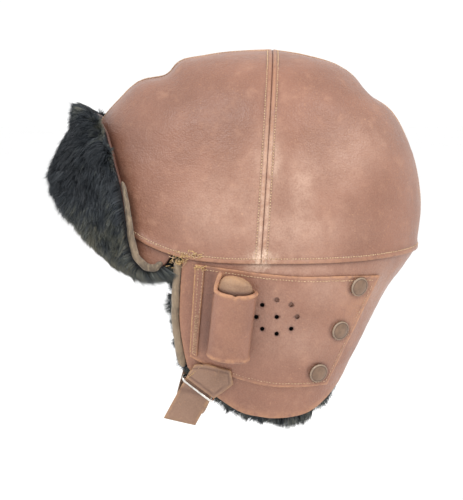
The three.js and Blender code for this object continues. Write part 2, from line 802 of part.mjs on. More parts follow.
function addSnaps() {
  const radius = snapDiameter / 2;
  const profile = [
    [0, 0],
    [radius, 0],
    [radius, 0.45 * snapHeight],
    [0.84 * radius, 0.85 * snapHeight],
    [0, snapHeight],
  ];
  snapPlaces.forEach((place, i) => {
    const { y, z } = panelPlace(place.u, place.v);
    const cap = new THREE.LatheGeometry(profile.map(([x, h]) => new THREE.Vector2(x, h)), 12);
    const normal = skirtNormal(y, z);
    cap.applyQuaternion(new THREE.Quaternion().setFromUnitVectors(new THREE.Vector3(0, 1, 0), normal));
    const seat = onSkirt(y, z, panelOut + gap);
    cap.translate(seat.x, seat.y, seat.z);
    addPair(`snap_${i + 1}`, tidy(cap), snapEnamel);
  });
}

// Strap frame: across the strap (rearwards and down) and along it (forwards and down) from the bar's middle
const barMiddle = { y: -crownFront * cutMiddle.ahead, z: seamZ - flapDrop * cutMiddle.down };
const strapAlong = { y: -Math.sin(strapSlant * degree), z: -Math.cos(strapSlant * degree) };
const strapAcross = { y: -strapAlong.z, z: strapAlong.y };
const innerLayer = gap + strapLeather / 2;
const outerLayer = innerLayer + strapLeather + gap;
const tabLow = outerLayer + strapLeather / 2 + gap;

function strapPlace(across, along) {
  return {
    y: barMiddle.y + strapAcross.y * across + strapAlong.y * along,
    z: barMiddle.z + strapAcross.z * across + strapAlong.z * along,
  };
}

// Inward slope of the skirt along the strap's line, where the strap leaves it
function skirtLean(across) {
  const reach = 4;
  const low = strapPlace(across, 0);
  const high = strapPlace(across, -reach);
  return (skirtX(high.y, high.z) - skirtX(low.y, low.z)) / reach;
}

// Stations along the strap: free tail, fold under the left tab, loop under the chin, sewn right end
function strapStations() {
  const stations = [];
  const tailSteps = 5;
  for (let i = 0; i <= tailSteps; i += 1) {
    stations.push({ along: strapTail * (1 - i / tailSteps), out: outerLayer, loop: 0 });
  }
  const turnRadius = (outerLayer - innerLayer) / 2;
  const turnSteps = 5;
  for (let i = 0; i <= turnSteps; i += 1) {
    const turn = Math.PI * i / turnSteps;
    stations.push({
      along: -strapTurnUnderTab - turnRadius * Math.sin(turn),
      out: innerLayer + turnRadius * (1 + Math.cos(turn)),
      loop: 0,
    });
  }
  const loopSteps = 18;
  for (let i = 0; i <= loopSteps; i += 1) {
    const loop = lerp(loopStart, 180 - loopStart, i / loopSteps) * degree;
    const depth = strapSag * (Math.sin(loop) - Math.sin(loopStart * degree)) / (1 - Math.sin(loopStart * degree));
    stations.push({ along: depth, out: innerLayer, loop });
  }
  stations.push({ along: -strapSewnEnd / 2, out: innerLayer, loop: Math.PI });
  stations.push({ along: -strapSewnEnd, out: innerLayer, loop: Math.PI });
  return stations;
}

function strapPoint(across, station) {
  const foot = strapPlace(across, Math.min(station.along, 0));
  const point = onSkirt(foot.y, foot.z, station.out);
  const skew = station.loop === 0 ? tailSkew * across / strapTail : 0;
  const beyond = Math.max(station.along, 0) * (1 - skew);
  point.y += strapAlong.y * beyond;
  point.z += strapAlong.z * beyond;
  if (station.loop === 0) {
    point.x -= skirtLean(across) * beyond * (1 - beyond / (tailRelax * strapTail));
  } else if (station.loop === Math.PI) {
    point.x *= -1;
  } else {
    point.x *= Math.cos(station.loop) / Math.cos(loopStart * degree);
  }
  return point;
}

// Ribbon through the strap's stations: middle points first, then normals from their neighbours
function addChinStrap() {
  const stations = strapStations();
  const sides = [-strapWidth / 2, 0, strapWidth / 2];
  const middle = sides.map((across) => stations.map((station) => strapPoint(across, station)));
  const outer = [];
  const inner = [];
  middle.forEach((line) => {
    const outerLine = [];
    const innerLine = [];
    line.forEach((point, j) => {
      const ahead = line[Math.min(j + 1, line.length - 1)];
      const behind = line[Math.max(j - 1, 0)];
      const along = ahead.clone().sub(behind);
      const across = middle.at(-1)[j].clone().sub(middle[0][j]);
      const normal = along.cross(across).normalize();
      outerLine.push(point.clone().addScaledVector(normal, strapLeather / 2));
      innerLine.push(point.clone().addScaledVector(normal, -strapLeather / 2));
    });
    outer.push(outerLine);
    inner.push(innerLine);
  });
  addPiece("chin_strap", closeGrids(outer, inner, false), brownLeather);
}

function addTabs() {
  const point = (u, v) => {
    const foot = { across: readLine(tabFoot, "u", "across", u), up: readLine(tabFoot, "u", "up", u) };
    const head = { across: readLine(tabHead, "u", "across", u), up: readLine(tabHead, "u", "up", u) };
    const { y, z } = strapPlace(lerp(head.across, foot.across, v), -lerp(head.up, foot.up, v));
    return onSkirt(y, z);
  };
  const low = (u, v) => lerp(panelOut + gap, tabLow, THREE.MathUtils.smoothstep(v, 0, tabStep));
  const high = (u, v) => low(u, v) + tabLeather;
  addPair("strap_tab", thickSheet(4, 5, point, low, high), brownLeather);
}

// Wire loop round both layers of the strap: a rounded rectangle swept by the wire
function addWireLoop() {
  const radius = wireDiameter / 2;
  const slant = wireSlant * degree;
  const bar = new THREE.Vector3(0, Math.cos(slant), -Math.sin(slant));
  const outwards = skirtNormal(barMiddle.y, barMiddle.z);
  const facing = bar.clone().cross(outwards).normalize();
  outwards.copy(facing).cross(bar).normalize();
  const obliquity = (wireSlant - strapSlant) * degree;
  const halfLong = strapWidth / 2 / Math.cos(obliquity) + wireSlack + radius;
  const halfDeep = (outerLayer - innerLayer) / 2 + strapLeather / 2 + wireSlack + radius;
  const centre = onSkirt(barMiddle.y, barMiddle.z, (innerLayer + outerLayer) / 2);
  const corner = halfDeep * 0.8;
  const quarterSteps = 3;
  const line = [];
  for (const [turn, alongSign, outSign] of [[0, 1, 1], [1, -1, 1], [2, -1, -1], [3, 1, -1]]) {
    for (let i = 0; i <= quarterSteps; i += 1) {
      const angle = (turn + i / quarterSteps) * Math.PI / 2;
      const along = alongSign * (halfLong - corner) + corner * Math.cos(angle);
      const out = outSign * (halfDeep - corner) + corner * Math.sin(angle);
      line.push(centre.clone().addScaledVector(bar, along).addScaledVector(outwards, out));
    }
  }
  const sides = 6;
  const rings = line.map((point, i) => {
    const next = line[(i + 1) % line.length];
    const last = line[(i + line.length - 1) % line.length];
    const away = next.clone().sub(last).normalize().cross(facing);
    const ring = [];
    for (let k = 0; k < sides; k += 1) {
      const angle = 2 * Math.PI * k / sides;
      const rim = point.clone().addScaledVector(facing, radius * Math.cos(angle));
      ring.push(rim.addScaledVector(away, radius * Math.sin(angle)));
    }
    return ring;
  });
  addPiece("wire_loop", closeRings(rings), brightWire);
}

// Joins rings of points into a closed band
function closeRings(rings) {
  const sides = rings[0].length;
  const positions = rings.flat().flatMap((point) => [point.x, point.y, point.z]);
  const index = [];
  for (let i = 0; i < rings.length; i += 1) {
    for (let k = 0; k < sides; k += 1) {
      const a = i * sides + k;
      const b = i * sides + (k + 1) % sides;
      const c = ((i + 1) % rings.length) * sides + (k + 1) % sides;
      const d = ((i + 1) % rings.length) * sides + k;
      index.push(a, b, c, a, c, d);
    }
  }
  const geometry = new THREE.BufferGeometry();
  geometry.setAttribute("position", new THREE.Float32BufferAttribute(positions, 3));
  geometry.setIndex(index);
  return tidy(geometry);
}

addCrown();
addSides();
addLinings();
addBrowFlap();
addBrowFur();
addFlapEdges();
addEdgeRolls();
addPanels();
addWelts();
addTubes();
addSnaps();
addTabs();
addWireLoop();
addChinStrap();

export default helmet;
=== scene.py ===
"""Leather flying helmet with a turned-up fur brow flap. Millimetres until a mesh is made, then metres."""

import math

import bpy
import numpy as np
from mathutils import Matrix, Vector
from mathutils.kdtree import KDTree


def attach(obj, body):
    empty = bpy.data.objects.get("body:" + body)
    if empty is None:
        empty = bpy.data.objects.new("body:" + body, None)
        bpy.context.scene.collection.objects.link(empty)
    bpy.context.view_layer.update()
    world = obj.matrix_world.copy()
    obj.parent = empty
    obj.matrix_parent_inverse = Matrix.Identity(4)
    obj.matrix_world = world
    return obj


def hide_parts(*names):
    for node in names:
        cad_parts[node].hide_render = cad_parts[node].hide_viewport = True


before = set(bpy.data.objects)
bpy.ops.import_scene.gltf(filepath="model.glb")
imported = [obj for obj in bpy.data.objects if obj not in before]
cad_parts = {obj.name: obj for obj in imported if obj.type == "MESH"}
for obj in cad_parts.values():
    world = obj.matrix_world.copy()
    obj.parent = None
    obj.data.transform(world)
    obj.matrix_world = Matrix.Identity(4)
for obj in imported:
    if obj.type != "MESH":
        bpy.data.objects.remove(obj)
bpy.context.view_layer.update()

MM = 0.001
TURN = 2 * math.pi
FLIPPED = [0, 3, 2, 1]

# Sizes of the leather shell, the same as the frame's
LEATHER = 2.0
GAP = 0.3
HALF_WIDTH = 89.0
CROWN_FRONT = 125.0
CROWN_BACK = 103.0
CROWN_FRONT_DROP = 84.0
CROWN_SIDE_DROP = 136.0
CROWN_BACK_DROP = 132.0
FLAP_DROP = 105.0
NAPE_DROP = 62.6
PLAN_POWER = 2.3
SEAM_SLANT = math.radians(3.6)
SEAM_BEHIND = 2.5
DENT_DEPTH = 4.5
APEX = LEATHER
SEAM_Z = APEX - CROWN_SIDE_DROP
FRONT_BLEND = 3.4
BACK_BLEND = 3.0

# Seams of the leather: lap of the crown over the sides, stitch lines, how far halves meet past the middle
LAP = 1.0
SEAM_LINE = 3.6
HEM_STITCH = 2.3
HEM_LINE = LAP + HEM_STITCH
STITCH = 1.85
STITCH_FILL = 0.66
PANEL_STITCH = 2.0
CROWN_OVERLAP = 0.04
NAPE_OVERLAP = 0.06

# Brow flap and its fur
FOLD_RADIUS = 3.5
FOLD_DEPTH = 8.0
FOLD_SIDE_DEPTH = 15.0
BROW_RISE = 41.0
BROW_SIDE_RISE = 52.0
CORNER_ROUND = 14.0
FOLD_START = 0.1
FOLD_END = 0.5
MERIDIAN_BULGE = 1.12
FUR_PAD = 7.5
CUT_EDGE_RADIUS = 1.9
SIDE_LIFT = 5.0
SIDE_SHIFT = 2.2

# Ear flap pieces
PANEL_LEATHER = 1.5
PANEL_SEAT = 0.5
PANEL_OUT = PANEL_SEAT + PANEL_LEATHER
LINING_THICKNESS = 5.0
LINING_SEAT = 0.5
LINING_OVERHANG = 2.0
LINING_REACH = 0.78
EDGE_ROLL_WIDTH = 4.6
EDGE_ROLL_THICKNESS = 5.0
WELT_WIDTH = 6.5
WELT_LEATHER = 1.2
WELT_RIBS = 44
HOLE_DIAMETER = 2.8
HOLE_RING_ALONG = 13.2
HOLE_RING_HIGH = 11.1
HOLE_ROD_REACH = 9
HOLE_SIDES = 20
SNAP_DIAMETER = 12.4
SNAP_HEIGHT = 2.8
SNAP_SINK = 0.15

# Tube pocket
TUBE_LENGTH = 48.0
TUBE_WIDTH = 27.5
TUBE_DEPTH = 16.0
TUBE_LEAN = math.radians(6)
TUBE_TILT = math.radians(4)
TUBE_WALL = 1.8
TUBE_SEAT = 0.7
PLUG_RISE = 9.0
PLUG_DEPTH_INSIDE = 22.0

# Chin strap, tab and wire loop
STRAP_WIDTH = 20.0
STRAP_LEATHER = 1.5
STRAP_SLANT = math.radians(28)
STRAP_TAIL = 26.0
STRAP_SAG = 24.0
STRAP_TURN_UNDER_TAB = 7.0
STRAP_SEWN_END = 13.0
LOOP_START = math.radians(9)
LOOP_BACK = 4.0
TAIL_RELAX = 2.5
TAIL_SKEW = 0.288
TAB_LEATHER = 1.6
TAB_STEP = 0.45
WIRE_DIAMETER = 1.8
WIRE_SLANT = math.radians(38)
WIRE_SLACK = 1.0

# Strands of fur: in each third of the brow flap, and on the lining's face, hem and front edge
BROW_STRANDS = 50000
LINING_STRANDS = 14000
HEM_STRANDS = 9500
FRONT_STRANDS = 6500

# Every strand: share of its length where it bends, and how far its tip strays in mm
HAIR_BEND = 0.55
HAIR_STRAY = 0.55

# Floor and lights
FLOOR_REACH = 9000.0
FLOOR_HEIGHT = -330.0
LIGHT_SIZE = 0.9
WORLD_STRENGTH = 1.06

# Crown meridians: t, then reach and drop in front, at the side and behind, as shares
CROWN_ROWS = [
    (0, 0, 0, 0, 0, 0, 0),
    (0.125, 0.164, 0.01, 0.262, 0.015, 0.22, 0.027),
    (0.25, 0.328, 0.038, 0.511, 0.068, 0.432, 0.076),
    (0.375, 0.49, 0.1, 0.713, 0.173, 0.624, 0.17),
    (0.5, 0.64, 0.202, 0.857, 0.32, 0.782, 0.284),
    (0.625, 0.773, 0.348, 0.939, 0.485, 0.898, 0.44),
    (0.75, 0.892, 0.542, 0.98, 0.654, 0.971, 0.61),
    (0.875, 0.956, 0.745, 0.999, 0.827, 1.002, 0.8),
    (1, 1, 1, 0.994, 1, 0.972, 1),
]
FRONT, FRONT_DROP, SIDE, SIDE_DROP, BACK, BACK_DROP = range(1, 7)

# Skirt below the seam: t, then reach in front, at the side and behind
SKIRT_ROWS = [
    (0, 1, 0.994, 0.972),
    (0.15, 0.995, 0.98, 0.907),
    (0.33, 0.985, 0.955, 0.823),
    (0.6, 0.97, 0.9, 0.721),
    (0.8, 0.955, 0.83, 0.65),
    (1, 0.94, 0.73, 0.573),
    (1.1, 0.93, 0.67, 0.535),
]

# Broad dents of the crown: azimuth, t, spread in degrees, spread in t, share of the dent depth
DENTS = [
    (0, 0.455, 34, 0.06, 1.05),
    (0, 0.36, 34, 0.05, -0.3),
    (0, 0.56, 30, 0.06, -0.25),
    (180, 0.42, 30, 0.075, 1.05),
    (62, 0.66, 16, 0.14, 0.4),
    (118, 0.6, 18, 0.12, 0.35),
    (140, 0.86, 16, 0.08, 0.4),
]

# Soft folds of the crown, seen from the side: y and z of both ends, width and height in mm
FOLDS = [
    (-70, -52, -39, -43, 3.0, 0.55),
    (-41, -43, -19, -30, 4.5, -0.6),
    (29, -75, 22, -88, 3.5, 0.5),
    (51, -70, 61, -82, 2.6, 0.45),
    (-32, -105, -19, -113, 2.2, -0.45),
    (-25, -102, -17, -115, 2.2, 0.4),
    (13, -127, 35, -113, 4.0, 0.6),
    (38, -94, 42, -110, 4.0, 0.5),
    (32, -35, 39, -43, 3.0, 0.35),
    (-61, -104, -57, -120, 3.0, 0.4),
    (4, -66, 14, -58, 5.0, -0.5),
    (48, -120, 70, -108, 3.0, 0.5),
    (52, -128, 78, -118, 2.6, -0.4),
]

# Spots of the leather, by strength, place and size in mm: pale scuffs with painted highlights, painted
# highlights, painted shade and wear
CROWN_SCUFFS_AND_HIGHLIGHT = [(0.95, (88, -6, -131), (20, 9, 5)), (0.4, (84, 3, -68), (20, 3, 12))]
CROWN_PAINTED_HIGHLIGHT = [
    (0.5, (84, -1, -66), (40, 9, 15)),
    (0.6, (86, 21, -84), (40, 8, 21)),
    (0.5, (86, 18, -114), (40, 34, 11)),
    (0.4, (86, -40, -102), (40, 20, 21)),
    (0.3, (70, 62, -60), (40, 22, 16)),
    (0.3, (86, -8, -90), (40, 26, 30)),
    (0.25, (80, 44, -80), (40, 17, 22)),
    (0.3, (86, 22, -130), (40, 18, 8)),
]
CROWN_PAINTED_SHADE = [
    (0.42, (80, -88, -57), (60, 22, 22)),
    (0.26, (80, -48, -32), (60, 30, 15)),
    (0.14, (84, -22, -52), (40, 9, 20)),
]
SIDE_SCUFFS_AND_HIGHLIGHT = [(0.7, (88, -6, -137), (20, 9, 4))]
SIDE_PAINTED_HIGHLIGHT = [(0.45, (86, 20, -139), (40, 34, 5)), (0.35, (60, 72, -156), (40, 14, 24))]
PANEL_WEAR = [(0.4, (80, 60, -170), (40, 14, 30))]
PANEL_PAINTED_HIGHLIGHT = [
    (0.4, (86, 38, -152), (40, 18, 12)),
    (0.3, (80, 24, -186), (40, 18, 14)),
    (0.22, (80, 2, -170), (40, 13, 26)),
]

# Edge of the crown against the fur, seen from the side: y and z of its upper and lower end
FUR_LINE = (-109, -47, -90, -120)

FLAP_FRONT_ROWS = [(0, 0.452), (0.2, 0.468), (0.4, 0.478), (0.6, 0.462), (0.7, 0.445)]
HEM_ROWS = [(0, 1), (0.13, 0.973), (0.2, 0.935), (0.3, 0.858), (0.4, 0.757), (0.445, 0.7)]
FOLD_ROWS = [(0, 0), (25, 0.15), (45, 0.9), (52, 1.05), (57, 0.8), (61, -0.3)]
FUR_ROWS = [(0, 0.5), (0.1, 0.55), (0.3, 0.8), (0.5, 1), (0.75, 1.25), (1, 0.8)]
BROW_END_ROWS = [(0, 61), (0.1, 59), (0.3, 55), (0.5, 51), (0.75, 47), (0.88, 43), (1, 36)]
PANEL_TOP_ROWS = [(0, 0.012), (0.17, 0.037), (0.36, 0.066), (0.57, 0.086), (0.81, 0.088), (1, 0.095)]
PANEL_BOTTOM_ROWS = [(0, 0.59), (0.12, 0.643), (0.34, 0.723), (0.57, 0.772), (0.74, 0.782), (1, 0.778)]
PANEL_ENDS = {"top_front": 0.382, "bottom_front": 0.412, "top_back": 0.687, "bottom_back": 0.353}
SNAP_PLACES = [(0.903, 0.093), (0.906, 0.488), (0.887, 0.87)]
TUBE_FOOT = {"ahead": 0.209, "down": 0.576}
HOLE_CENTRE = {"behind": 0.041, "down": 0.336}
HOLE_ANGLES = [0, 45, 90, 135, 180, 225, 270, 315]
THROUGH_ANGLES = [135, 180, 225, 270, 315]
CUT_MIDDLE = {"ahead": 0.3685, "down": 0.789}
TAB_FOOT = [(0, -9.7, 3.9), (1, 11.8, 0.2)]
TAB_HEAD = [(0, -9.3, 13.6), (0.25, -2.6, 17.5), (0.75, 12.5, 21.5), (1, 18.3, 13.8)]

# Sewn line on the tab: across and up at its foot and its head
TAB_SEAM = [(-8.7, 5.2), (-5.0, 15.2)]


# Reading tables, and noise

def table(rows, at, column=1):
    """Smooth curve through a table's rows, read at values of its first column."""
    keys, values = (np.array([row[k] for row in rows], float) for k in (0, column))
    last = len(keys) - 1
    at = np.asarray(at, float)
    i = np.clip(np.searchsorted(keys, at, side="left") - 1, 0, last - 1)
    k = np.arange(last + 1)
    low, high = np.maximum(k - 1, 0), np.minimum(k + 1, last)
    slope = (values[high] - values[low]) / (keys[high] - keys[low])
    step = keys[i + 1] - keys[i]
    f = np.clip((at - keys[i]) / step, 0, 1)
    f2, f3 = f * f, f * f * f
    start = values[i] * (2 * f3 - 3 * f2 + 1) + values[i + 1] * (3 * f2 - 2 * f3)
    return start + step * (slope[i] * (f3 - 2 * f2 + f) + slope[i + 1] * (f3 - f2))


def line(rows, at, column):
    return np.interp(at, [row[0] for row in rows], [row[column] for row in rows])


def lerp(start, end, share):
    return start + (end - start) * share


def ease(low, high, at):
    """Smooth step from 0 at low to 1 at high, which may be the smaller one."""
    f = np.clip((at - low) / (high - low), 0, 1)
    return f * f * (3 - 2 * f)


def bell(at, wide):
    """Soft bump, 1 at 0 and fading over the given width."""
    return np.exp(-(at / wide) ** 2)


def unit(v):
    return v / np.maximum(np.linalg.norm(v, axis=-1, keepdims=True), 1e-12)


def stack(x, y, z):
    return np.stack(np.broadcast_arrays(x, y, z), axis=-1).astype(float)


def grid(columns, rows):
    return np.meshgrid(columns, rows, indexing="ij")


def noise(points, size, seed):
    """Smooth noise between -1 and 1 whose bumps are about size across; size may differ per axis."""
    q = np.asarray(points, float) / np.asarray(size, float)
    cell = np.floor(q).astype(np.int64)
    f = q - cell
    f = f * f * (3 - 2 * f)
    total = np.zeros(q.shape[:-1])
    for corner in range(8):
        step = np.array([corner & 1, corner >> 1 & 1, corner >> 2 & 1])
        c = cell + step
        h = c[..., 0] * 374761393 + c[..., 1] * 668265263 + c[..., 2] * 1440662683 + seed * 974634777
        h &= 0x7FFFFFFF
        h = ((h ^ (h >> 13)) * 1274126177) & 0x7FFFFFFF
        h = (h ^ (h >> 16)) & 0xFFFF
        share = np.prod(np.where(step == 1, f, 1 - f), axis=-1)
        total += share * (h / 32767.5 - 1)
    return total


def rumple(points, *rows):
    """Sum of noises, from rows of height, size and seed."""
    return sum(height * noise(points, size, seed) for height, size, seed in rows)


def sway(points, size, seed, upright=1.0):
    """Random direction at each point, from three noises with seeds in a row."""
    x, y, z = (noise(points, size, seed + k) for k in range(3))
    return stack(x, y, upright * z)


def spots(points, rows):
    """Sum of soft spots, from rows of strength, place and size."""
    total = np.zeros(points.shape[:-1])
    for strength, place, size in rows:
        away = (points - np.array(place, float)) / np.array(size, float)
        total += strength * np.exp(-np.sum(away * away, axis=-1))
    return total


# Surfaces of the shell

def plan_shares(azimuth):
    c, s = np.cos(azimuth), np.sin(azimuth)
    m = (np.abs(c) ** PLAN_POWER + np.abs(s) ** PLAN_POWER) ** (-1 / PLAN_POWER)
    return c * m, s * m


def smooth_shell(azimuth, t):
    """Outer face of the crown for t up to 1 and of the skirt for t from 1 to 2, without dents."""
    ahead, across = plan_shares(azimuth)
    t = np.asarray(t, float)
    below, top = np.maximum(t - 1, 0), np.minimum(t, 1)

    def reach(crown_column, skirt_column):
        return np.where(t <= 1, table(CROWN_ROWS, top, crown_column), table(SKIRT_ROWS, below, skirt_column))

    def drop(size, column, skirt_drop):
        return size * table(CROWN_ROWS, top, column) + below * skirt_drop

    forward = ahead > 0
    weight = np.where(forward, np.abs(ahead) ** FRONT_BLEND, np.abs(ahead) ** BACK_BLEND)
    end_drop = np.where(
        forward, drop(CROWN_FRONT_DROP, FRONT_DROP, FLAP_DROP), drop(CROWN_BACK_DROP, BACK_DROP, NAPE_DROP))
    end_reach = np.where(forward, CROWN_FRONT * reach(FRONT, 1), CROWN_BACK * reach(BACK, 3))
    fall = lerp(drop(CROWN_SIDE_DROP, SIDE_DROP, FLAP_DROP), end_drop, weight)
    return stack(HALF_WIDTH * reach(SIDE, 2) * across, -end_reach * ahead, APEX - fall)


def shell(azimuth, t):
    point = smooth_shell(azimuth, t)
    outwards = unit(point - np.array([0, 0, -0.6 * CROWN_SIDE_DROP]))
    turn = np.abs((np.abs(np.degrees(azimuth)) + 180) % 360 - 180)
    dent = 0
    for at_turn, at_t, wide, high, depth in DENTS:
        dent = dent + depth * DENT_DEPTH * bell(turn - at_turn, wide) * bell(t - at_t, high)
    point = point - outwards * np.asarray(dent)[..., None]
    point[..., 1] += SEAM_BEHIND * np.clip(1 - np.asarray(t, float), 0, 1) ** 2
    return point


def seam_azimuth(t):
    """Azimuth of the ear-to-ear seam at each height t of the crown."""
    low, high = np.full(np.shape(t), math.radians(50)), np.full(np.shape(t), math.radians(130))
    for _ in range(34):
        middle = (low + high) / 2
        p = shell(middle, t)
        behind = p[..., 1] > SEAM_BEHIND + math.tan(SEAM_SLANT) * p[..., 2]
        low, high = np.where(behind, low, middle), np.where(behind, middle, high)
    return (low + high) / 2


def azimuth_at(ahead):
    across = (1 - np.abs(ahead) ** PLAN_POWER) ** (1 / PLAN_POWER)
    return np.arctan2(across, ahead)


def skirt(u, v, overhang=0.0):
    """Left half of the skirt, from the flap's front edge (u 0) to the middle of the nape (u 1)."""
    hem_azimuth = lerp(azimuth_at(FLAP_FRONT_ROWS[-1][1]), math.pi, u)
    ahead, _ = plan_shares(hem_azimuth)
    hem = np.where(ahead > 0, table(HEM_ROWS, np.maximum(ahead, 0)), 1)
    below = v * (hem + overhang / FLAP_DROP)
    front = azimuth_at(table(FLAP_FRONT_ROWS, below))
    point = smooth_shell(lerp(front, math.pi, u), 1 + below)
    point[..., 0] = GAP / 2 + point[..., 0] * (1 - GAP / 2 / HALF_WIDTH)
    return point


def skirt_x(y, z):
    """Outer face of the skirt at a place given by its y and z."""
    y, z = np.broadcast_arrays(np.asarray(y, float), np.asarray(z, float))
    ahead = y < 0
    t = (SEAM_Z - z) / FLAP_DROP
    share = np.zeros(y.shape)
    for _ in range(8):
        end = np.where(ahead, CROWN_FRONT * table(SKIRT_ROWS, t, 1), CROWN_BACK * table(SKIRT_ROWS, t, 3))
        share = np.minimum(np.abs(y) / end, 0.98)
        weight = np.where(ahead, share ** FRONT_BLEND, share ** BACK_BLEND)
        top = lerp(CROWN_SIDE_DROP, np.where(ahead, CROWN_FRONT_DROP, CROWN_BACK_DROP), weight)
        length = lerp(FLAP_DROP, np.where(ahead, FLAP_DROP, NAPE_DROP), weight)
        t = np.maximum((APEX - z - top) / length, 0)
    across = (1 - share ** PLAN_POWER) ** (1 / PLAN_POWER)
    return HALF_WIDTH * table(SKIRT_ROWS, t, 2) * across


def skirt_normal(y, z):
    h = 0.5
    slope_y = (skirt_x(y + h, z) - skirt_x(y - h, z)) / (2 * h)
    slope_z = (skirt_x(y, z + h) - skirt_x(y, z - h)) / (2 * h)
    return unit(stack(1.0, -slope_y, -slope_z))


def on_skirt(y, z, out):
    return stack(skirt_x(y, z), y, z) + skirt_normal(y, z) * np.asarray(out)[..., None]


def panel_place(u, v):
    """Place on the ear panel: u from its front to its back edge, v from its top to its bottom."""
    front = -CROWN_FRONT * lerp(PANEL_ENDS["top_front"], PANEL_ENDS["bottom_front"], v)
    back = CROWN_BACK * lerp(PANEL_ENDS["top_back"], PANEL_ENDS["bottom_back"], v)
    drop = lerp(table(PANEL_TOP_ROWS, u), table(PANEL_BOTTOM_ROWS, u), v)
    return lerp(front, back, u), SEAM_Z - FLAP_DROP * drop


def panel_line(u, v):
    y, z = panel_place(u, v)
    return on_skirt(y, z, 0.0), skirt_normal(y, z)


WELT_SHARE = WELT_WIDTH / (CROWN_FRONT * PANEL_ENDS["top_front"] + CROWN_BACK * PANEL_ENDS["top_back"])


def meridian_length(azimuth):
    ahead = np.maximum(plan_shares(azimuth)[0], 0)
    front = math.hypot(CROWN_FRONT, CROWN_FRONT_DROP)
    side = math.hypot(HALF_WIDTH, CROWN_SIDE_DROP)
    return MERIDIAN_BULGE * lerp(side, front, ahead)


def face_normal(surface, azimuth, t):
    h = 1e-3
    down = surface(azimuth, np.minimum(t + h, 1)) - surface(azimuth, t - h)
    along = surface(azimuth + h, t) - surface(azimuth - h, t)
    return unit(np.cross(down, along))


def brow(u, w):
    """Middle of the turned-up brow flap: down from the crown's seam, round the fold and up outside."""
    u, w = np.broadcast_arrays(np.asarray(u, float), np.asarray(w, float))
    share, h = 2 * u - 1, 1e-3
    azimuth = share * np.radians(table(BROW_END_ROWS, w))
    edge = smooth_shell(azimuth, np.ones(u.shape))
    downwards = unit(edge - smooth_shell(azimuth, np.full(u.shape, 1 - h)))
    beside = smooth_shell(azimuth + h, np.ones(u.shape)) - smooth_shell(azimuth - h, np.ones(u.shape))
    outwards = unit(np.cross(downwards, beside))
    depth = lerp(FOLD_DEPTH, FOLD_SIDE_DEPTH, table(FOLD_ROWS, np.degrees(np.abs(azimuth))))
    inside = -LEATHER / 2
    turn = np.pi * np.clip((w - FOLD_START) / (FOLD_END - FOLD_START), 0, 1)
    rise = lerp(BROW_RISE, BROW_SIDE_RISE, share * share) - CORNER_ROUND * np.abs(share) ** 4
    up = lerp(-depth, rise, np.clip((w - FOLD_END) / (1 - FOLD_END), 0, 1))
    down = np.where(w < FOLD_START, lerp(2 * GAP, depth, w / FOLD_START), depth + FOLD_RADIUS * np.sin(turn))
    down = np.where(w > FOLD_END, -up, down)
    out = inside + FOLD_RADIUS * (1 - np.cos(turn))
    low = edge + downwards * down[..., None] + outwards * out[..., None]
    t = 1 - np.maximum(up, 0) / meridian_length(azimuth)
    high = smooth_shell(azimuth, t) + face_normal(smooth_shell, azimuth, t) * (inside + 2 * FOLD_RADIUS)
    point = np.where(((w > FOLD_END) & (up > 0))[..., None], high, low)
    side = ease(0.7, 1.0, np.abs(share))
    point[..., 2] += SIDE_LIFT * side * ease(0.05, 0.2, w) * ease(0.8, 0.5, w)
    point[..., 1] -= SIDE_SHIFT * side * ease(0.45, 0.65, w)
    return point


def grid_normals(points):
    return unit(np.cross(np.gradient(points, axis=1), np.gradient(points, axis=0)))


def spread(count, length, edge, fine=0.0, fine_step=0.5):
    """Shares from 0 to 1, closer together near both ends for a rounded edge and a fine border."""
    near = [edge * (1 - math.cos(math.radians(a))) for a in (0, 30, 60, 90)]
    at = near[-1]
    while at + fine_step < fine:
        at += fine_step
        near.append(at)
    near = np.array(near) / length
    middle = np.linspace(near[-1], 1 - near[-1], count)
    return np.concatenate([near[:-1], middle, 1 - near[:-1][::-1]])


def run_length(points):
    """Distance along a path, from its first point to each of its points."""
    return np.concatenate([[0], np.cumsum(np.linalg.norm(np.diff(points, axis=0), axis=1))])


# Making meshes

def place_in_scene(name, data):
    thing = bpy.data.objects.new(name, data)
    bpy.context.scene.collection.objects.link(thing)
    return thing


def floats(block, key, count):
    values = np.empty(count, np.float32)
    block.foreach_get(key, values)
    return values


def add_mark(mesh, mark, values):
    attribute = mesh.attributes.new(mark, "FLOAT", "POINT")
    attribute.data.foreach_set("value", np.asarray(values, np.float32).ravel())


def make_mesh(name, points, faces, marks=None, slots=None):
    """Mesh object from points in mm, lists of equal-sized faces and marks, one number per point each."""
    mesh = bpy.data.meshes.new(name)
    mesh.vertices.add(len(points))
    mesh.vertices.foreach_set("co", (np.asarray(points, float) * MM).astype(np.float32).ravel())
    groups = [np.asarray(group, np.int32) for group in faces]
    sizes = np.concatenate([np.full(len(group), group.shape[1]) for group in groups])
    mesh.loops.add(int(sizes.sum()))
    mesh.loops.foreach_set("vertex_index", np.concatenate([group.ravel() for group in groups]))
    mesh.polygons.add(len(sizes))
    starts = np.concatenate([[0], np.cumsum(sizes)[:-1]])
    mesh.polygons.foreach_set("loop_start", starts.astype(np.int32))
    if slots is not None:
        mesh.polygons.foreach_set("material_index", np.asarray(slots, np.int32))
    mesh.polygons.foreach_set("use_smooth", np.full(len(sizes), True))
    mesh.update(calc_edges=True)
    for mark, values in (marks or {}).items():
        add_mark(mesh, mark, values)
    return place_in_scene(name, mesh)


def dress(thing, *materials):
    thing.data.materials.clear()
    for material in materials:
        thing.data.materials.append(material)
    return thing


def stand_for(thing, slot, *nodes):
    """Rides the piece on the helmet's body, in place of the nodes it stands for."""
    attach(thing, "root")
    if nodes:
        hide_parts(*nodes)
    return thing


def mirror(thing, name):
    mesh = thing.data.copy()
    mesh.name = name
    places = floats(mesh.vertices, "co", 3 * len(mesh.vertices))
    places[0::3] *= -1
    mesh.vertices.foreach_set("co", places)
    mesh.flip_normals()
    mesh.update()
    return place_in_scene(name, mesh)


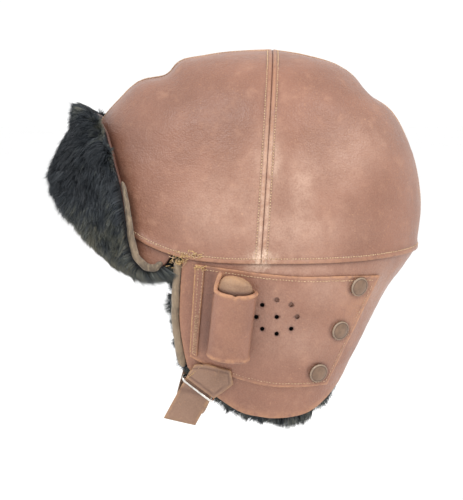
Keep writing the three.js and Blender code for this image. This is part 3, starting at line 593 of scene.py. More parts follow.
def both_sides(make, name, slot, *materials, nodes=None):
    """Makes the left piece, mirrors it to the right and lets both stand for their nodes."""
    left = dress(make(f"{name}_left_skin"), *materials)
    right = mirror(left, f"{name}_right_skin")
    for thing, side in ((left, "left"), (right, "right")):
        stand_for(thing, slot, f"{nodes or name}_{side}")


def edge_distance(points):
    """Distance of each grid point along the surface to the sheet's nearest edge, and to each edge."""
    along_u, along_v = (
        np.cumsum(np.linalg.norm(np.diff(points, axis=k, prepend=first), axis=-1), axis=k)
        for k, first in ((0, points[:1]), (1, points[:, :1])))
    sides = [along_u, along_u[-1:] - along_u, along_v, along_v[:, -1:] - along_v]
    return np.minimum.reduce(sides), sides


def grid_faces(index):
    corners = [index[:-1, :-1], index[:-1, 1:], index[1:, 1:], index[1:, :-1]]
    return np.stack(corners, axis=-1).reshape(-1, 4)


def ring_faces(here, ahead):
    """Faces between rings of point numbers and the rings ahead of them."""
    corners = [here, np.roll(here, -1, axis=1), np.roll(ahead, -1, axis=1), ahead]
    return np.stack(corners, axis=-1).reshape(-1, 4)


def circle(sides):
    return np.linspace(0, TURN, sides, endpoint=False)


def skin(name, points, low, high, edge, relief=0.0, marks=None):
    """Closed sheet with rounded edges between two offsets of a grid of points."""
    columns, rows = points.shape[:2]
    normals = grid_normals(points)
    reach, _ = edge_distance(points)
    round_off = np.sqrt(np.clip(1 - (1 - np.clip(reach / edge, 0, 1)) ** 2, 0, 1))
    low, high = np.broadcast_to(low, reach.shape), np.broadcast_to(high, reach.shape)
    middle, half = (low + high) / 2, (high - low) / 2
    outer = points + normals * (middle + (half + relief) * round_off)[..., None]
    inner = points + normals * (middle - half * round_off)[..., None]
    index = np.arange(columns * rows).reshape(columns, rows)
    inner_index = index.copy()
    inner_index[1:-1, 1:-1] = index.size + np.arange((columns - 2) * (rows - 2)).reshape(columns - 2, -1)
    places = np.concatenate([outer.reshape(-1, 3), inner[1:-1, 1:-1].reshape(-1, 3)])
    faces = [grid_faces(index), grid_faces(inner_index)[:, FLIPPED]]
    slots = np.repeat([0, 1], len(faces[0]))
    point_marks = {}
    for mark, values in (marks or {}).items():
        values = np.broadcast_to(np.clip(values, 0, 1), reach.shape)
        point_marks[mark] = np.concatenate([values.ravel(), values[1:-1, 1:-1].ravel()])
    return make_mesh(name, places, faces, point_marks, slots)


def tube_along(name, centres, sides, radius, across, closed=False):
    """Round tube through centres; across fixes the direction of its first axis."""
    centres = np.asarray(centres, float)
    if closed:
        tangent = unit(np.roll(centres, -1, axis=0) - np.roll(centres, 1, axis=0))
    else:
        tangent = unit(np.gradient(centres, axis=0))
    first = unit(across - tangent * np.sum(across * tangent, axis=-1, keepdims=True))
    second = np.cross(tangent, first)
    angle = circle(sides)[:, None]
    ring = first[:, None] * np.cos(angle) + second[:, None] * np.sin(angle)
    points = centres[:, None] + ring * np.broadcast_to(radius, (len(centres), sides))[..., None]
    index = np.arange(len(centres) * sides).reshape(-1, sides)
    if closed:
        faces = [ring_faces(index, np.roll(index, -1, axis=0))]
    else:
        faces = [ring_faces(index[:-1], index[1:]), index[:1, ::-1], index[-1:]]
    return make_mesh(name, points.reshape(-1, 3), faces)


# Materials

class Nodes:
    """Small helper for building a material's nodes."""

    def __init__(self, name):
        self.material = bpy.data.materials.new(name)
        self.material.use_nodes = True
        self.tree = self.material.node_tree
        self.tree.nodes.clear()
        self.shader = self.add("BsdfPrincipled")
        self.feed(self.add("OutputMaterial"), {"Surface": self.shader.outputs["BSDF"]})
        self.place = self.add("TexCoord").outputs["Object"]

    def add(self, kind):
        return self.tree.nodes.new("ShaderNode" + kind)

    def feed(self, node, values):
        """Sets the node's inputs to values, or links them to other nodes' outputs."""
        for name, value in values.items():
            if isinstance(value, bpy.types.NodeSocket):
                self.tree.links.new(value, node.inputs[name])
            else:
                node.inputs[name].default_value = value
        return node

    def finish(self, colour, roughness, **values):
        values = {name.replace("_", " "): value for name, value in values.items()}
        self.feed(self.shader, {"Base Color": colour, "Roughness": roughness, **values})
        return self.material

    def stretch(self, scale, turn=(0, 0, 0)):
        values = {"Scale": scale, "Rotation": turn, "Vector": self.place}
        return self.feed(self.add("Mapping"), values).outputs["Vector"]

    def noise(self, scale, detail=3.0, roughness=0.5, place=None, distortion=0.0):
        values = {"Scale": scale, "Detail": detail, "Roughness": roughness, "Distortion": distortion}
        return self.feed(self.add("TexNoise"), {**values, "Vector": place or self.place}).outputs["Fac"]

    def cells(self, scale):
        return self.feed(self.add("TexVoronoi"), {"Scale": scale, "Vector": self.place}).outputs["Distance"]

    def mark(self, name):
        node = self.add("Attribute")
        node.attribute_name = name
        return node.outputs["Fac"]

    def math(self, operation, a, b=0.0):
        node = self.add("Math")
        node.operation = operation
        return self.feed(node, {0: a, 1: b}).outputs[0]

    def times(self, a, b):
        return self.math("MULTIPLY", a, b)

    def span(self, value, low, high, to_low=0.0, to_high=1.0):
        node = self.add("MapRange")
        node.interpolation_type = "SMOOTHSTEP"
        limits = {"From Min": low, "From Max": high, "To Min": to_low, "To Max": to_high}
        return self.feed(node, {**limits, "Value": value}).outputs["Result"]

    def mix(self, share, a, b):
        node = self.add("Mix")
        node.data_type = "RGBA"
        return self.feed(node, {0: share, 6: a, 7: b}).outputs[2]

    def bump(self, *layers):
        """Bump from layers of height and distance in mm, one over the other."""
        under = {}
        for height, depth in layers:
            node = self.feed(self.add("Bump"), {"Distance": depth * MM, "Height": height, **under})
            under = {"Normal": node.outputs["Normal"]}
        self.feed(self.shader, under)


def paint(red, green, blue):
    """Screen colour from 0 to 255 as a linear colour."""
    linear = [c / 255 / 12.92 if c <= 10 else ((c / 255 + 0.055) / 1.055) ** 2.4 for c in (red, green, blue)]
    return (*linear, 1.0)


def leather(name, base, pale, dark, worn, roughness):
    """Worn leather: mottled, finely pitted and creased, with a little painted shade along the creases; marks
    add wear, painted highlights, grime with painted shade, and pale scuffs that also stand as painted
    highlights.
    """
    n = Nodes(name)
    base, pale, dark, worn = (paint(*colour) for colour in (base, pale, dark, worn))
    patches = n.noise(95, 4, 0.6)
    folds = n.noise(62, 3, 0.6, n.stretch((1.0, 1.0, 2.6), (0.5, 0.2, 0.0)), 0.6)
    crease = n.span(n.math("ABSOLUTE", n.math("SUBTRACT", folds, 0.5)), 0.0, 0.035, 1.0, 0.0)
    colour = n.mix(n.span(n.noise(26, 5, 0.55), 0.34, 0.66), dark, base)
    colour = n.mix(n.times(n.span(patches, 0.5, 0.8), 0.5), colour, pale)
    # Painted shade: the leather darkens slightly along the creases
    colour = n.mix(n.times(crease, 0.05), colour, dark)
    specks = n.times(n.span(n.noise(430, 2, 0.5), 0.68, 0.76), n.span(n.noise(48, 2), 0.45, 0.65))
    colour = n.mix(n.times(specks, 0.45), colour, pale)
    dots = n.times(n.span(n.noise(640, 3, 0.6), 0.6, 0.72), n.span(n.noise(34, 3), 0.4, 0.62))
    colour = n.mix(n.times(dots, 0.5), colour, worn)
    colour = n.mix(n.times(n.span(n.noise(1000, 3, 0.7), 0.38, 0.68), 0.24), colour, pale)
    # Painted highlight: soft pale pinkish spots where the sheen would catch the light
    painted_highlight = n.times(n.mark("painted_highlight"), n.span(n.noise(130, 4, 0.6), 0.25, 0.65, 0.55, 1.0))
    painted_highlight = n.times(painted_highlight, n.span(n.noise(800, 3, 0.7), 0.3, 0.6, 0.6, 1.0))
    colour = n.mix(painted_highlight, colour, paint(202, 166, 146))
    wear = n.times(n.mark("wear"), n.span(n.noise(240, 3, 0.6), 0.25, 0.62))
    colour = n.mix(wear, colour, worn)
    # Grime and painted shade: the colour darkens to deep brown where the mark is set
    colour = n.mix(n.times(n.mark("grime"), 0.85), colour, paint(74, 44, 37))
    # Pale scuffs, which also serve as painted highlights near the seams and on spots
    scuff_and_highlight_pattern = n.span(n.noise(190, 4, 0.65), 0.3, 0.62)
    scuff_and_highlight_pattern = n.times(scuff_and_highlight_pattern, n.span(n.noise(900, 3, 0.7), 0.3, 0.6, 0.3, 1.0))
    colour = n.mix(n.times(n.mark("scuffs_and_highlight"), scuff_and_highlight_pattern), colour, paint(218, 190, 168))
    n.bump((n.noise(150, 4, 0.6), 0.55), (crease, -0.04), (n.cells(820), 0.16), (n.noise(2100, 2, 0.6), 0.05))
    rough = n.math("ADD", n.span(patches, 0.3, 0.7, roughness - 0.05, roughness + 0.07), n.times(wear, 0.14))
    return n.finish(colour, rough, Specular_IOR_Level=0.5)


def suede(name, base, pale, dark):
    """Flesh side of the leather: short nap with fibres, no gloss."""
    n = Nodes(name)
    nap = n.noise(700, 5, 0.7)
    fibres = n.noise(520, 3, 0.6, n.stretch((1.0, 1.0, 0.3)))
    colour = n.mix(n.span(n.noise(60, 4, 0.6), 0.35, 0.65), paint(*dark), paint(*base))
    colour = n.mix(n.times(n.span(fibres, 0.45, 0.75), 0.6), colour, paint(*pale))
    colour = n.mix(n.mark("grime"), colour, paint(70, 54, 44))
    n.bump((nap, 0.3), (fibres, 0.25))
    rough = n.span(nap, 0.3, 0.7, 0.82, 0.95)
    return n.finish(colour, rough, Specular_IOR_Level=0.25, Sheen_Weight=0.25, Sheen_Roughness=0.5)


def fur_material(name):
    """Clipped fur: blue-black strands that fade to grey and olive, by marks on each strand; the shade mark
    also holds painted light, paler strands low on the flap and on its undersides.
    """
    n = Nodes(name)
    shade = n.mark("shade")
    colour = n.mix(n.span(shade, 0.0, 0.5), paint(22, 27, 34), paint(56, 62, 68))
    colour = n.mix(n.span(shade, 0.5, 0.8), colour, paint(98, 101, 94))
    colour = n.mix(n.span(shade, 0.8, 1.0), colour, paint(122, 118, 102))
    colour = n.mix(n.times(n.noise(180, 2), 0.4), colour, paint(38, 42, 46))
    colour = n.mix(n.span(n.mark("root"), 0.0, 0.5, 0.9, 0.0), colour, paint(14, 15, 18))
    return n.finish(colour, n.span(n.noise(90, 2), 0.3, 0.7, 0.42, 0.6), Specular_IOR_Level=0.45)


def hide_material(name):
    """Dark skin under the fur, hidden by its strands."""
    n = Nodes(name)
    n.bump((n.noise(600, 3), 0.6))
    colour = n.mix(n.noise(300, 3), paint(16, 17, 20), paint(40, 40, 42))
    return n.finish(colour, 0.9, Specular_IOR_Level=0.2)


def thread_material(name, base, dark):
    n = Nodes(name)
    twist = n.noise(1500, 2, 0.6)
    n.bump((twist, 0.15))
    return n.finish(n.mix(n.span(twist, 0.3, 0.65), paint(*dark), paint(*base)), 0.7, Specular_IOR_Level=0.35)


def metal_material(name, base, dark, metal, roughness, scratch):
    n = Nodes(name)
    patches = n.noise(260, 4, 0.6)
    scratches = n.noise(900, 3, 0.7, n.stretch((1.0, 0.25, 1.0)))
    colour = n.mix(n.span(patches, 0.3, 0.7), paint(*dark), paint(*base))
    # The wear mark gives a pale rim, partly rubbed paint and partly painted highlight; the grime mark darkens
    # with painted shade as well as grime
    colour = n.mix(n.times(n.mark("wear"), 0.7), colour, paint(212, 200, 180))
    colour = n.mix(n.times(n.mark("grime"), 0.8), colour, paint(62, 44, 36))
    n.bump((scratches, scratch), (patches, scratch))
    return n.finish(colour, n.span(scratches, 0.35, 0.7, roughness, roughness + 0.16), Metallic=metal)


brown_leather = leather("brown_leather", (143, 99, 80), (174, 130, 106), (130, 88, 70), (188, 138, 102), 0.4)
tab_leather = leather("tab_leather", (140, 108, 89), (160, 128, 106), (120, 90, 72), (176, 136, 98), 0.55)
plug_leather = leather("plug_leather", (150, 117, 91), (173, 141, 114), (126, 93, 71), (186, 144, 104), 0.48)
inner_leather = suede("inner_leather", (150, 112, 90), (174, 136, 110), (122, 86, 66))
tan_skin = suede("tan_skin", (140, 122, 102), (170, 152, 126), (96, 84, 72))
black_fur = fur_material("black_fur")
fur_skin = hide_material("fur_skin")
cream_thread = thread_material("cream_thread", (216, 188, 154), (168, 130, 98))
golden_thread = thread_material("golden_thread", (212, 182, 130), (164, 126, 80))
snap_enamel = metal_material("snap_enamel", (128, 101, 80), (110, 86, 68), 0.1, 0.28, 0.03)
bright_wire = metal_material("bright_wire", (232, 230, 226), (196, 190, 182), 1.0, 0.16, 0.02)


# Crown

def soft_folds(points):
    total = np.zeros(points.shape[:-1])
    y, z = (points[..., 1 + k] + 1.6 * noise(points, 12, 9 + k) for k in (0, 1))
    for y0, z0, y1, z1, wide, high in FOLDS:
        along_y, along_z = y1 - y0, z1 - z0
        length = math.hypot(along_y, along_z)
        share = ((y - y0) * along_y + (z - z0) * along_z) / length ** 2
        away = ((y - y0) * along_z - (z - z0) * along_y) / length
        ends = bell(np.maximum(np.abs(share - 0.5) - 0.35, 0), 0.3)
        total += high * bell(away, wide) * ends
    return total * ease(35, 55, np.abs(points[..., 0]))


def crown_relief(points, seam, hem):
    """Height of the leather over its smooth face, from the distance to the seams and to the lower edge."""
    ridge = 0.42 * bell(seam - 1.6, 1.0) - 0.3 * bell(seam - SEAM_LINE, 0.6)
    lap = 0.35 * ease(8.0, 2.2, hem) - 0.25 * bell(hem - HEM_LINE, 0.6)
    away = np.minimum(seam, hem)
    folds = rumple(points, (0.55, (30, 34, 22), 3), (0.28, (13, 16, 9), 4)) + soft_folds(points) - 0.3
    fine = 0.1 * noise(points, (4.5, 5.5, 3.6), 5)
    pucker = 0.2 * noise(points, 2.6, 6) * np.exp(-away / 3.5)
    return ridge + lap + folds * ease(0, 14, away + 3) + fine + pucker


def crown_quarter(name, front):
    t = lerp(0.003, 1.0 + LAP / FLAP_DROP, spread(66, 190, 0.4, 4.5, 0.6))
    u, t = grid(spread(42, 150, 0.4, 5.5, 0.6), t)
    seam = seam_azimuth(t[0])[None, :]
    points = shell(lerp(0.0, seam, u) if front else lerp(seam, math.pi, u), t)
    points[..., 0] = np.maximum(points[..., 0], 0) - CROWN_OVERLAP
    _, (from_first, from_last, _, hem) = edge_distance(points)
    middle, ear = (from_first, from_last) if front else (from_last, from_first)
    away = np.minimum(from_first, from_last)
    y0, z0, y1, z1 = FUR_LINE
    from_fur = (points[..., 1] - y0) * (z0 - z1) + (points[..., 2] - z0) * (y1 - y0)
    from_fur = from_fur / math.hypot(y1 - y0, z1 - z0)
    wear = 0.85 * bell(middle, 11) * ease(-0.5, 0.4, noise(points, 24, 8))
    # Darker edges, painted shade over the crown's front, and a painted shadow of the fur along its edge; the
    # stitch lines are real dark joints
    grime = 0.4 * bell(away, 0.35) + 0.4 * bell(hem, 0.4) + spots(points, CROWN_PAINTED_SHADE)
    grime += 0.5 * bell(np.maximum(from_fur, 0), 5.5) * ease(-128, -116, points[..., 2])
    marks = {
        "wear": wear + 0.35 * bell(hem, 3) + 0.5 * bell(away - 1.6, 0.7),
        # Pale scuffs along the ear seam and on spots, partly painted highlights
        "scuffs_and_highlight": 0.6 * bell(ear - 1.8, 1.3) * ease(0.35, 0.95, t) + spots(points, CROWN_SCUFFS_AND_HIGHLIGHT),
        "grime": grime + 0.4 * bell(away - SEAM_LINE, 0.6) + 0.3 * bell(hem - HEM_LINE, 0.5),
        # Painted highlights on broad spots of the crown
        "painted_highlight": spots(points, CROWN_PAINTED_HIGHLIGHT),
    }
    low = lerp(-LEATHER, 0.1, ease(LAP + 0.6, LAP - 0.2, hem))
    high = lerp(0.0, 0.9, ease(6.0, 1.5, hem))
    return skin(name, points, low, high, 0.4, crown_relief(points, away, hem), marks)


for crown_end, in_front in (("crown_front", True), ("crown_back", False)):
    both_sides(
        lambda name, front=in_front: crown_quarter(name, front), crown_end,
        "brown_leather", brown_leather, inner_leather)


# Ear flaps, neck piece and panels

def hole_places(angles):
    turn = np.radians(angles)
    y, z = CROWN_BACK * HOLE_CENTRE["behind"], SEAM_Z - FLAP_DROP * HOLE_CENTRE["down"]
    return np.append(y, y + HOLE_RING_ALONG * np.cos(turn)), np.append(z, z + HOLE_RING_HIGH * np.sin(turn))


def cut_holes(thing, angles):
    """Cuts the listening holes and carries the marks over to the new vertices."""
    count = len(thing.data.vertices)
    marks = {
        attribute.name: floats(attribute.data, "value", count)
        for attribute in thing.data.attributes if attribute.name in ("wear", "grime", "scuffs_and_highlight", "painted_highlight")}
    tree = KDTree(count)
    for i, place in enumerate(floats(thing.data.vertices, "co", 3 * count).reshape(-1, 3)):
        tree.insert(place, i)
    tree.balance()
    y, z = hole_places(angles)
    x, angle, radius = skirt_x(y, z)[:, None], circle(HOLE_SIDES), HOLE_DIAMETER / 2
    ring_y, ring_z = y[:, None] + radius * np.cos(angle), z[:, None] + radius * np.sin(angle)
    rods = np.stack([stack(x + reach, ring_y, ring_z) for reach in (-HOLE_ROD_REACH, HOLE_ROD_REACH)], axis=1)
    index = np.arange(rods.size // 3).reshape(rods.shape[:-1])
    caps = np.stack([index[:, 0, ::-1], index[:, 1]], axis=1).reshape(-1, HOLE_SIDES)
    cutter = make_mesh("hole_rods", rods.reshape(-1, 3), [ring_faces(index[:, 0], index[:, 1]), caps])
    modifier = thing.modifiers.new("holes", "BOOLEAN")
    modifier.object = cutter
    modifier.solver = "EXACT"
    bpy.context.view_layer.update()
    made = bpy.data.meshes.new_from_object(thing.evaluated_get(bpy.context.evaluated_depsgraph_get()))
    thing.modifiers.clear()
    thing.data = made
    bpy.data.objects.remove(cutter)
    new = floats(made.vertices, "co", 3 * len(made.vertices)).reshape(-1, 3)
    nearest = np.array([tree.find(place)[1] for place in new])
    around = np.min(np.hypot(new[:, 1:2] / MM - y, new[:, 2:3] / MM - z), axis=1)
    for mark, values in marks.items():
        if mark in made.attributes:
            made.attributes.remove(made.attributes[mark])
        values = values[nearest]
        if mark == "grime":
            values = np.maximum(values, 0.75 * bell(around - radius, 0.5))
        add_mark(made, mark, values)
    return thing


def side_piece(name):
    u, v = grid(spread(84, 235, 0.8), spread(50, 100, 0.8))
    points = skirt(u, lerp(0.2 * GAP / FLAP_DROP, 1.0, v))
    points[..., 0] -= (GAP / 2 + NAPE_OVERLAP) * ease(0.9, 1.0, u)
    _, (front, back, top, hem) = edge_distance(points)
    relief = rumple(points, (0.5, (26, 30, 20), 13), (0.25, (11, 12, 8), 14), (0.12, (4, 5, 3.4), 16))
    relief += ease(35, 75, points[..., 1]) * 0.9 * noise(points, (14, 18, 30), 15)
    relief += 0.35 * bell(np.minimum(front, hem) - 1.5, 1.3)
    marks = {
        "wear": 0.6 * bell(hem, 4) + 0.5 * bell(back, 9) + 0.3 * bell(front, 3),
        # Painted shadow along the top edge, under the crown's lapped edge
        "grime": 0.55 * bell(top, 2.0),
        # Pale scuff with a painted highlight where the seams meet
        "scuffs_and_highlight": spots(points, SIDE_SCUFFS_AND_HIGHLIGHT),
        # Painted highlights on spots of the side
        "painted_highlight": spots(points, SIDE_PAINTED_HIGHLIGHT),
    }
    flap = dress(skin(name, points, -LEATHER, 0.0, 0.9, relief, marks), brown_leather, inner_leather)
    return cut_holes(flap, THROUGH_ANGLES)


def panel_piece(name):
    u, v = grid(spread(60, 118, 0.6, 4.0, 0.8), spread(40, 68, 0.6, 4.0, 0.8))
    points, _ = panel_line(u, v)
    _, (front, back, top, hem) = edge_distance(points)
    away = np.minimum.reduce([back, top, hem])
    snap_rims = 0
    for place in SNAP_PLACES:
        y, z = panel_place(*place)
        from_snap = np.hypot(points[..., 1] - y, points[..., 2] - z)
        snap_rims = snap_rims + bell(from_snap - SNAP_DIAMETER / 2, 1.2)
    relief = rumple(points, (0.3, (20, 22, 16), 23), (0.14, (7, 8, 12), 24), (0.06, (3, 3.4, 3), 25))
    relief -= 0.22 * bell(away - 2.4, 0.5) + 0.25 * np.clip(snap_rims, 0, 1)
    marks = {
        "wear": 0.75 * bell(np.minimum(away, front), 1.6) + spots(points, PANEL_WEAR),
        # Painted shade round the feet of the snap caps, and a painted shadow in the strip between the welt
        # and the tube
        "grime": 0.55 * snap_rims + 0.55 * bell(front - 10.5, 3.5) * ease(1.0, 0.8, v),
        # Painted highlights on spots of the panel, one lifting the shade beside the tube
        "painted_highlight": spots(points, PANEL_PAINTED_HIGHLIGHT),
    }
    panel = dress(skin(name, points, PANEL_SEAT, PANEL_OUT, 0.6, relief, marks), brown_leather, inner_leather)
    return cut_holes(panel, HOLE_ANGLES)


def welt_piece(name):
    u, v = grid(spread(9, WELT_WIDTH, 0.5), spread(110, 60, 0.5))
    points, _ = panel_line(WELT_SHARE * u, lerp(0.02, 0.95, v))
    reach, _ = edge_distance(points)
    low = PANEL_OUT + GAP
    relief = 0.18 * np.sin(TURN * WELT_RIBS * v) * ease(0.2, 0.5, u) + 0.15 * noise(points, 3.5, 31)
    # Painted shade growing towards the welt's back edge, beside the tube; the pale edges are real wear
    marks = {"wear": 0.9 * bell(reach, 0.8), "grime": 0.25 * ease(0.3, 1.0, u)}
    return skin(name, points, low, low + WELT_LEATHER, 0.5, relief, marks)


for make_left, leather_name in ((side_piece, "side"), (panel_piece, "ear_panel"), (welt_piece, "welt")):
    both_sides(make_left, leather_name, "brown_leather", brown_leather, inner_leather)


# Pieces turned on a lathe: tube pocket, its stopper and the snap caps

def tube_frame():
    y, z = -CROWN_FRONT * TUBE_FOOT["ahead"], SEAM_Z - FLAP_DROP * TUBE_FOOT["down"]
    out = PANEL_OUT + TUBE_SEAT + TUBE_DEPTH / 2
    foot = on_skirt(y, z, out)
    head_y, head_z = y + TUBE_LENGTH * math.sin(TUBE_LEAN), z + TUBE_LENGTH * math.cos(TUBE_LEAN)
    axis = unit(on_skirt(head_y, head_z, out + TUBE_LENGTH * math.sin(TUBE_TILT)) - foot)
    across = unit(np.cross(axis, skirt_normal(y, z)))
    return foot, across, axis, np.cross(across, axis)


def read_path(at, length, values):
    """Values along a path, read at distances from its start."""
    return np.stack([np.interp(at, length, column) for column in values.T], axis=-1)


def lathed(name, own_frame, rows, steps, sides, marks, shape=None, squeeze=1.0):
    """Turns rows of radius and height; shape moves the points in the piece's own axes."""
    rows = np.array(rows, float)
    length = run_length(rows)
    at = np.unique(np.concatenate([np.linspace(*ends, steps) for ends in zip(length, length[1:])]))
    radius, height = (np.repeat(column[:, None], sides, axis=1) for column in read_path(at, length, rows).T)
    turn = np.broadcast_to(circle(sides), radius.shape)
    local = stack(radius * np.cos(turn), height, radius * np.sin(turn) * squeeze)
    if shape:
        local = shape(local, turn, height)
    foot, across, axis, outwards = own_frame
    points = foot + local[..., :1] * across + local[..., 1:2] * axis + local[..., 2:] * outwards
    index = np.arange(radius.size).reshape(radius.shape)
    faces = [ring_faces(index[:-1], index[1:])[:, FLIPPED], index[:1], index[-1:, ::-1]]
    values = {mark: np.clip(value, 0, 1) for mark, value in marks(local, turn, height).items()}
    return make_mesh(name, points.reshape(-1, 3), faces, values)


def sleeve_piece(name):
    radius, top = TUBE_WIDTH / 2, TUBE_LENGTH
    inner = radius - TUBE_WALL
    rows = [
        (0.02, 0.5), (0.7 * radius, 0.1), (0.93 * radius, 0.3), (radius, 1.3), (1.03 * radius, 2.2),
        (1.01 * radius, 3.6), (0.985 * radius, 5.5), (0.98 * radius, 0.5 * top), (radius, 0.9 * top),
        (radius + 0.2, top - 3), (radius + 0.9, top - 1.9), (radius + 1.0, top - 0.9), (radius + 0.4, top),
        (inner + 0.6, top), (inner, top - 0.8), (inner - 0.5, 0.8 * top), (inner - 0.5, TUBE_WALL),
        (0.02, TUBE_WALL),
    ]

    def shape(local, turn, height):
        towards = np.sin(turn)
        rise = ease(0.8 * top, top, height)
        left = ease(0.35, 0.9, -np.cos(turn)) * ease(0.45, -0.1, towards)
        local[..., 1] += rise * (9.5 * left - 1.4 * ease(0.2, 1, towards) - bell(turn - 0.48 * math.pi, 0.1))
        local[..., 0] += rise * 2.5 * left
        rough = rumple(local, (0.4, (9, 15, 9), 41), (0.16, (4, 6, 4), 42))
        return local + unit(local * np.array([1, 0, 1])) * (rough * ease(1, 6, height))[..., None]

    def marks(local, turn, height):
        towards = np.sin(turn)
        wear = 0.9 * bell(height - top + 1, 1.6) + 0.7 * bell(height - 2, 1.5) + 0.1 * ease(0.6, 1.0, towards)
        # Painted shade on the side of the sleeve facing the ear panel
        return {"wear": wear, "grime": 0.4 * ease(0.2, -0.4, towards)}

    return lathed(name, tube_frame(), rows, 6, 72, marks, shape, TUBE_DEPTH / TUBE_WIDTH)


def plug_piece(name):
    fit, top, rise = TUBE_WIDTH / 2 - TUBE_WALL - 0.5 - 2 * GAP, TUBE_LENGTH, PLUG_RISE
    foot = top - PLUG_DEPTH_INSIDE
    rows = [
        (0.02, foot), (0.9 * fit, foot), (fit, foot + 1), (fit + 0.2, top - 3), (fit + 0.4, top),
        (0.98 * fit, top + 0.3 * rise), (0.9 * fit, top + 0.58 * rise), (0.74 * fit, top + 0.8 * rise),
        (0.5 * fit, top + 0.93 * rise), (0.25 * fit, top + 0.99 * rise), (0.02, top + rise),
    ]

    def shape(local, turn, height):
        above = ease(top, top + rise, height)
        local[..., 1] -= above * (0.11 * local[..., 0] + 0.6)
        rough = rumple(local, (0.45, (7, 5, 7), 51), (0.2, (3, 2.4, 3), 52))
        return local + unit(local - np.array([0, top - 5, 0])) * (above * rough)[..., None]

    def marks(local, turn, height):
        wear = 0.5 * ease(top + 3, top + rise, height)
        # Painted shade on the plug below the sleeve's rim, inside the tube
        return {"wear": wear, "grime": 0.9 * ease(top + 2.2, top - 1, height)}

    return lathed(name, tube_frame(), rows, 5, 60, marks, shape, TUBE_DEPTH / TUBE_WIDTH)


def snap_piece(name, place):
    radius = SNAP_DIAMETER / 2
    y, z = panel_place(*place)
    normal = skirt_normal(y, z)
    across = unit(np.cross(normal, np.array([0, 0, 1.0])))
    rows = [
        (0.02, 0), (0.96 * radius, 0), (1.02 * radius, 0.35), (1.03 * radius, 0.9), (0.97 * radius, 1.55),
        (0.9 * radius, 1.7), (0.86 * radius, 1.6), (0.83 * radius, 1.62), (0.78 * radius, 1.85),
        (0.6 * radius, 2.3), (0.35 * radius, 0.95 * SNAP_HEIGHT), (0.02, SNAP_HEIGHT),
    ]

    def marks(local, turn, height):
        share = np.hypot(local[..., 0], local[..., 2]) / radius
        # Painted shade in the cap's groove and at its foot; the pale outer rim is partly rubbed paint, partly
        # painted highlight
        grime = 0.9 * bell(share - 0.845, 0.03) + ease(0.7, 0.1, height)
        return {"wear": 0.3 * ease(0.88, 0.97, share), "grime": grime}

    seat = on_skirt(y, z, PANEL_OUT + GAP - SNAP_SINK)
    return lathed(name, (seat, across, normal, np.cross(across, normal)), rows, 4, 48, marks)


both_sides(sleeve_piece, "tube_sleeve", "brown_leather", brown_leather)
both_sides(plug_piece, "tube_plug", "plug_leather", plug_leather)
for number, snap_place in enumerate(SNAP_PLACES, 1):
    both_sides(lambda name, at=snap_place: snap_piece(name, at), f"snap_{number}", "snap_enamel", snap_enamel)


# Chin strap, tabs and wire loop

BAR_Y = -CROWN_FRONT * CUT_MIDDLE["ahead"]
BAR_Z = SEAM_Z - FLAP_DROP * CUT_MIDDLE["down"]
ALONG_Y, ALONG_Z = -math.sin(STRAP_SLANT), -math.cos(STRAP_SLANT)
ACROSS_Y, ACROSS_Z = -ALONG_Z, ALONG_Y
INNER_LAYER = GAP + STRAP_LEATHER / 2
OUTER_LAYER = INNER_LAYER + STRAP_LEATHER + GAP
TAB_LOW = OUTER_LAYER + STRAP_LEATHER / 2 + GAP


def strap_place(across, along):
    return BAR_Y + ACROSS_Y * across + ALONG_Y * along, BAR_Z + ACROSS_Z * across + ALONG_Z * along


def skirt_lean(across):
    reach = 4.0
    low, high = strap_place(across, 0.0), strap_place(across, -reach)
    return (skirt_x(*high) - skirt_x(*low)) / reach


def strap_stations():
    """Rows of (along, out, loop): free tail, fold under the left tab, loop under the chin, sewn right end."""
    under, turn_radius, low = STRAP_TURN_UNDER_TAB, (OUTER_LAYER - INNER_LAYER) / 2, math.sin(LOOP_START)
    rows = [(STRAP_TAIL * (1 - i / 16), OUTER_LAYER, 0.0) for i in range(17)]
    rows += [(-under * i / 4, OUTER_LAYER, 0.0) for i in range(1, 4)]
    for i in range(9):
        turn = math.pi * i / 8
        out = INNER_LAYER + turn_radius * (1 + math.cos(turn))
        rows.append((-under - turn_radius * math.sin(turn), out, 0.0))
    rows += [(-under * (1 - i / 4), INNER_LAYER, 0.0) for i in range(1, 4)]
    for i in range(73):
        loop = lerp(LOOP_START, math.pi - LOOP_START, i / 72)
        rows.append((STRAP_SAG * (math.sin(loop) - low) / (1 - low), INNER_LAYER, loop))
    return rows + [(-STRAP_SEWN_END * i / 6, INNER_LAYER, math.pi) for i in range(1, 7)]


def strap_point(across, along, out, loop):
    point = on_skirt(*strap_place(across, np.minimum(along, 0.0)), out)
    skew = TAIL_SKEW * across / STRAP_TAIL if loop == 0 else 0.0
    beyond = max(along, 0.0) * (1 - skew)
    point[..., 1] += ALONG_Y * beyond
    point[..., 2] += ALONG_Z * beyond
    if loop == 0:
        point[..., 0] -= skirt_lean(across) * beyond * (1 - beyond / (TAIL_RELAX * STRAP_TAIL))
    elif loop == math.pi:
        point[..., 0] *= -1
    else:
        point[..., 0] *= math.cos(loop) / math.cos(LOOP_START)
        point[..., 1] += LOOP_BACK * (math.sin(loop) - math.sin(LOOP_START)) / (1 - math.sin(LOOP_START))
    return point


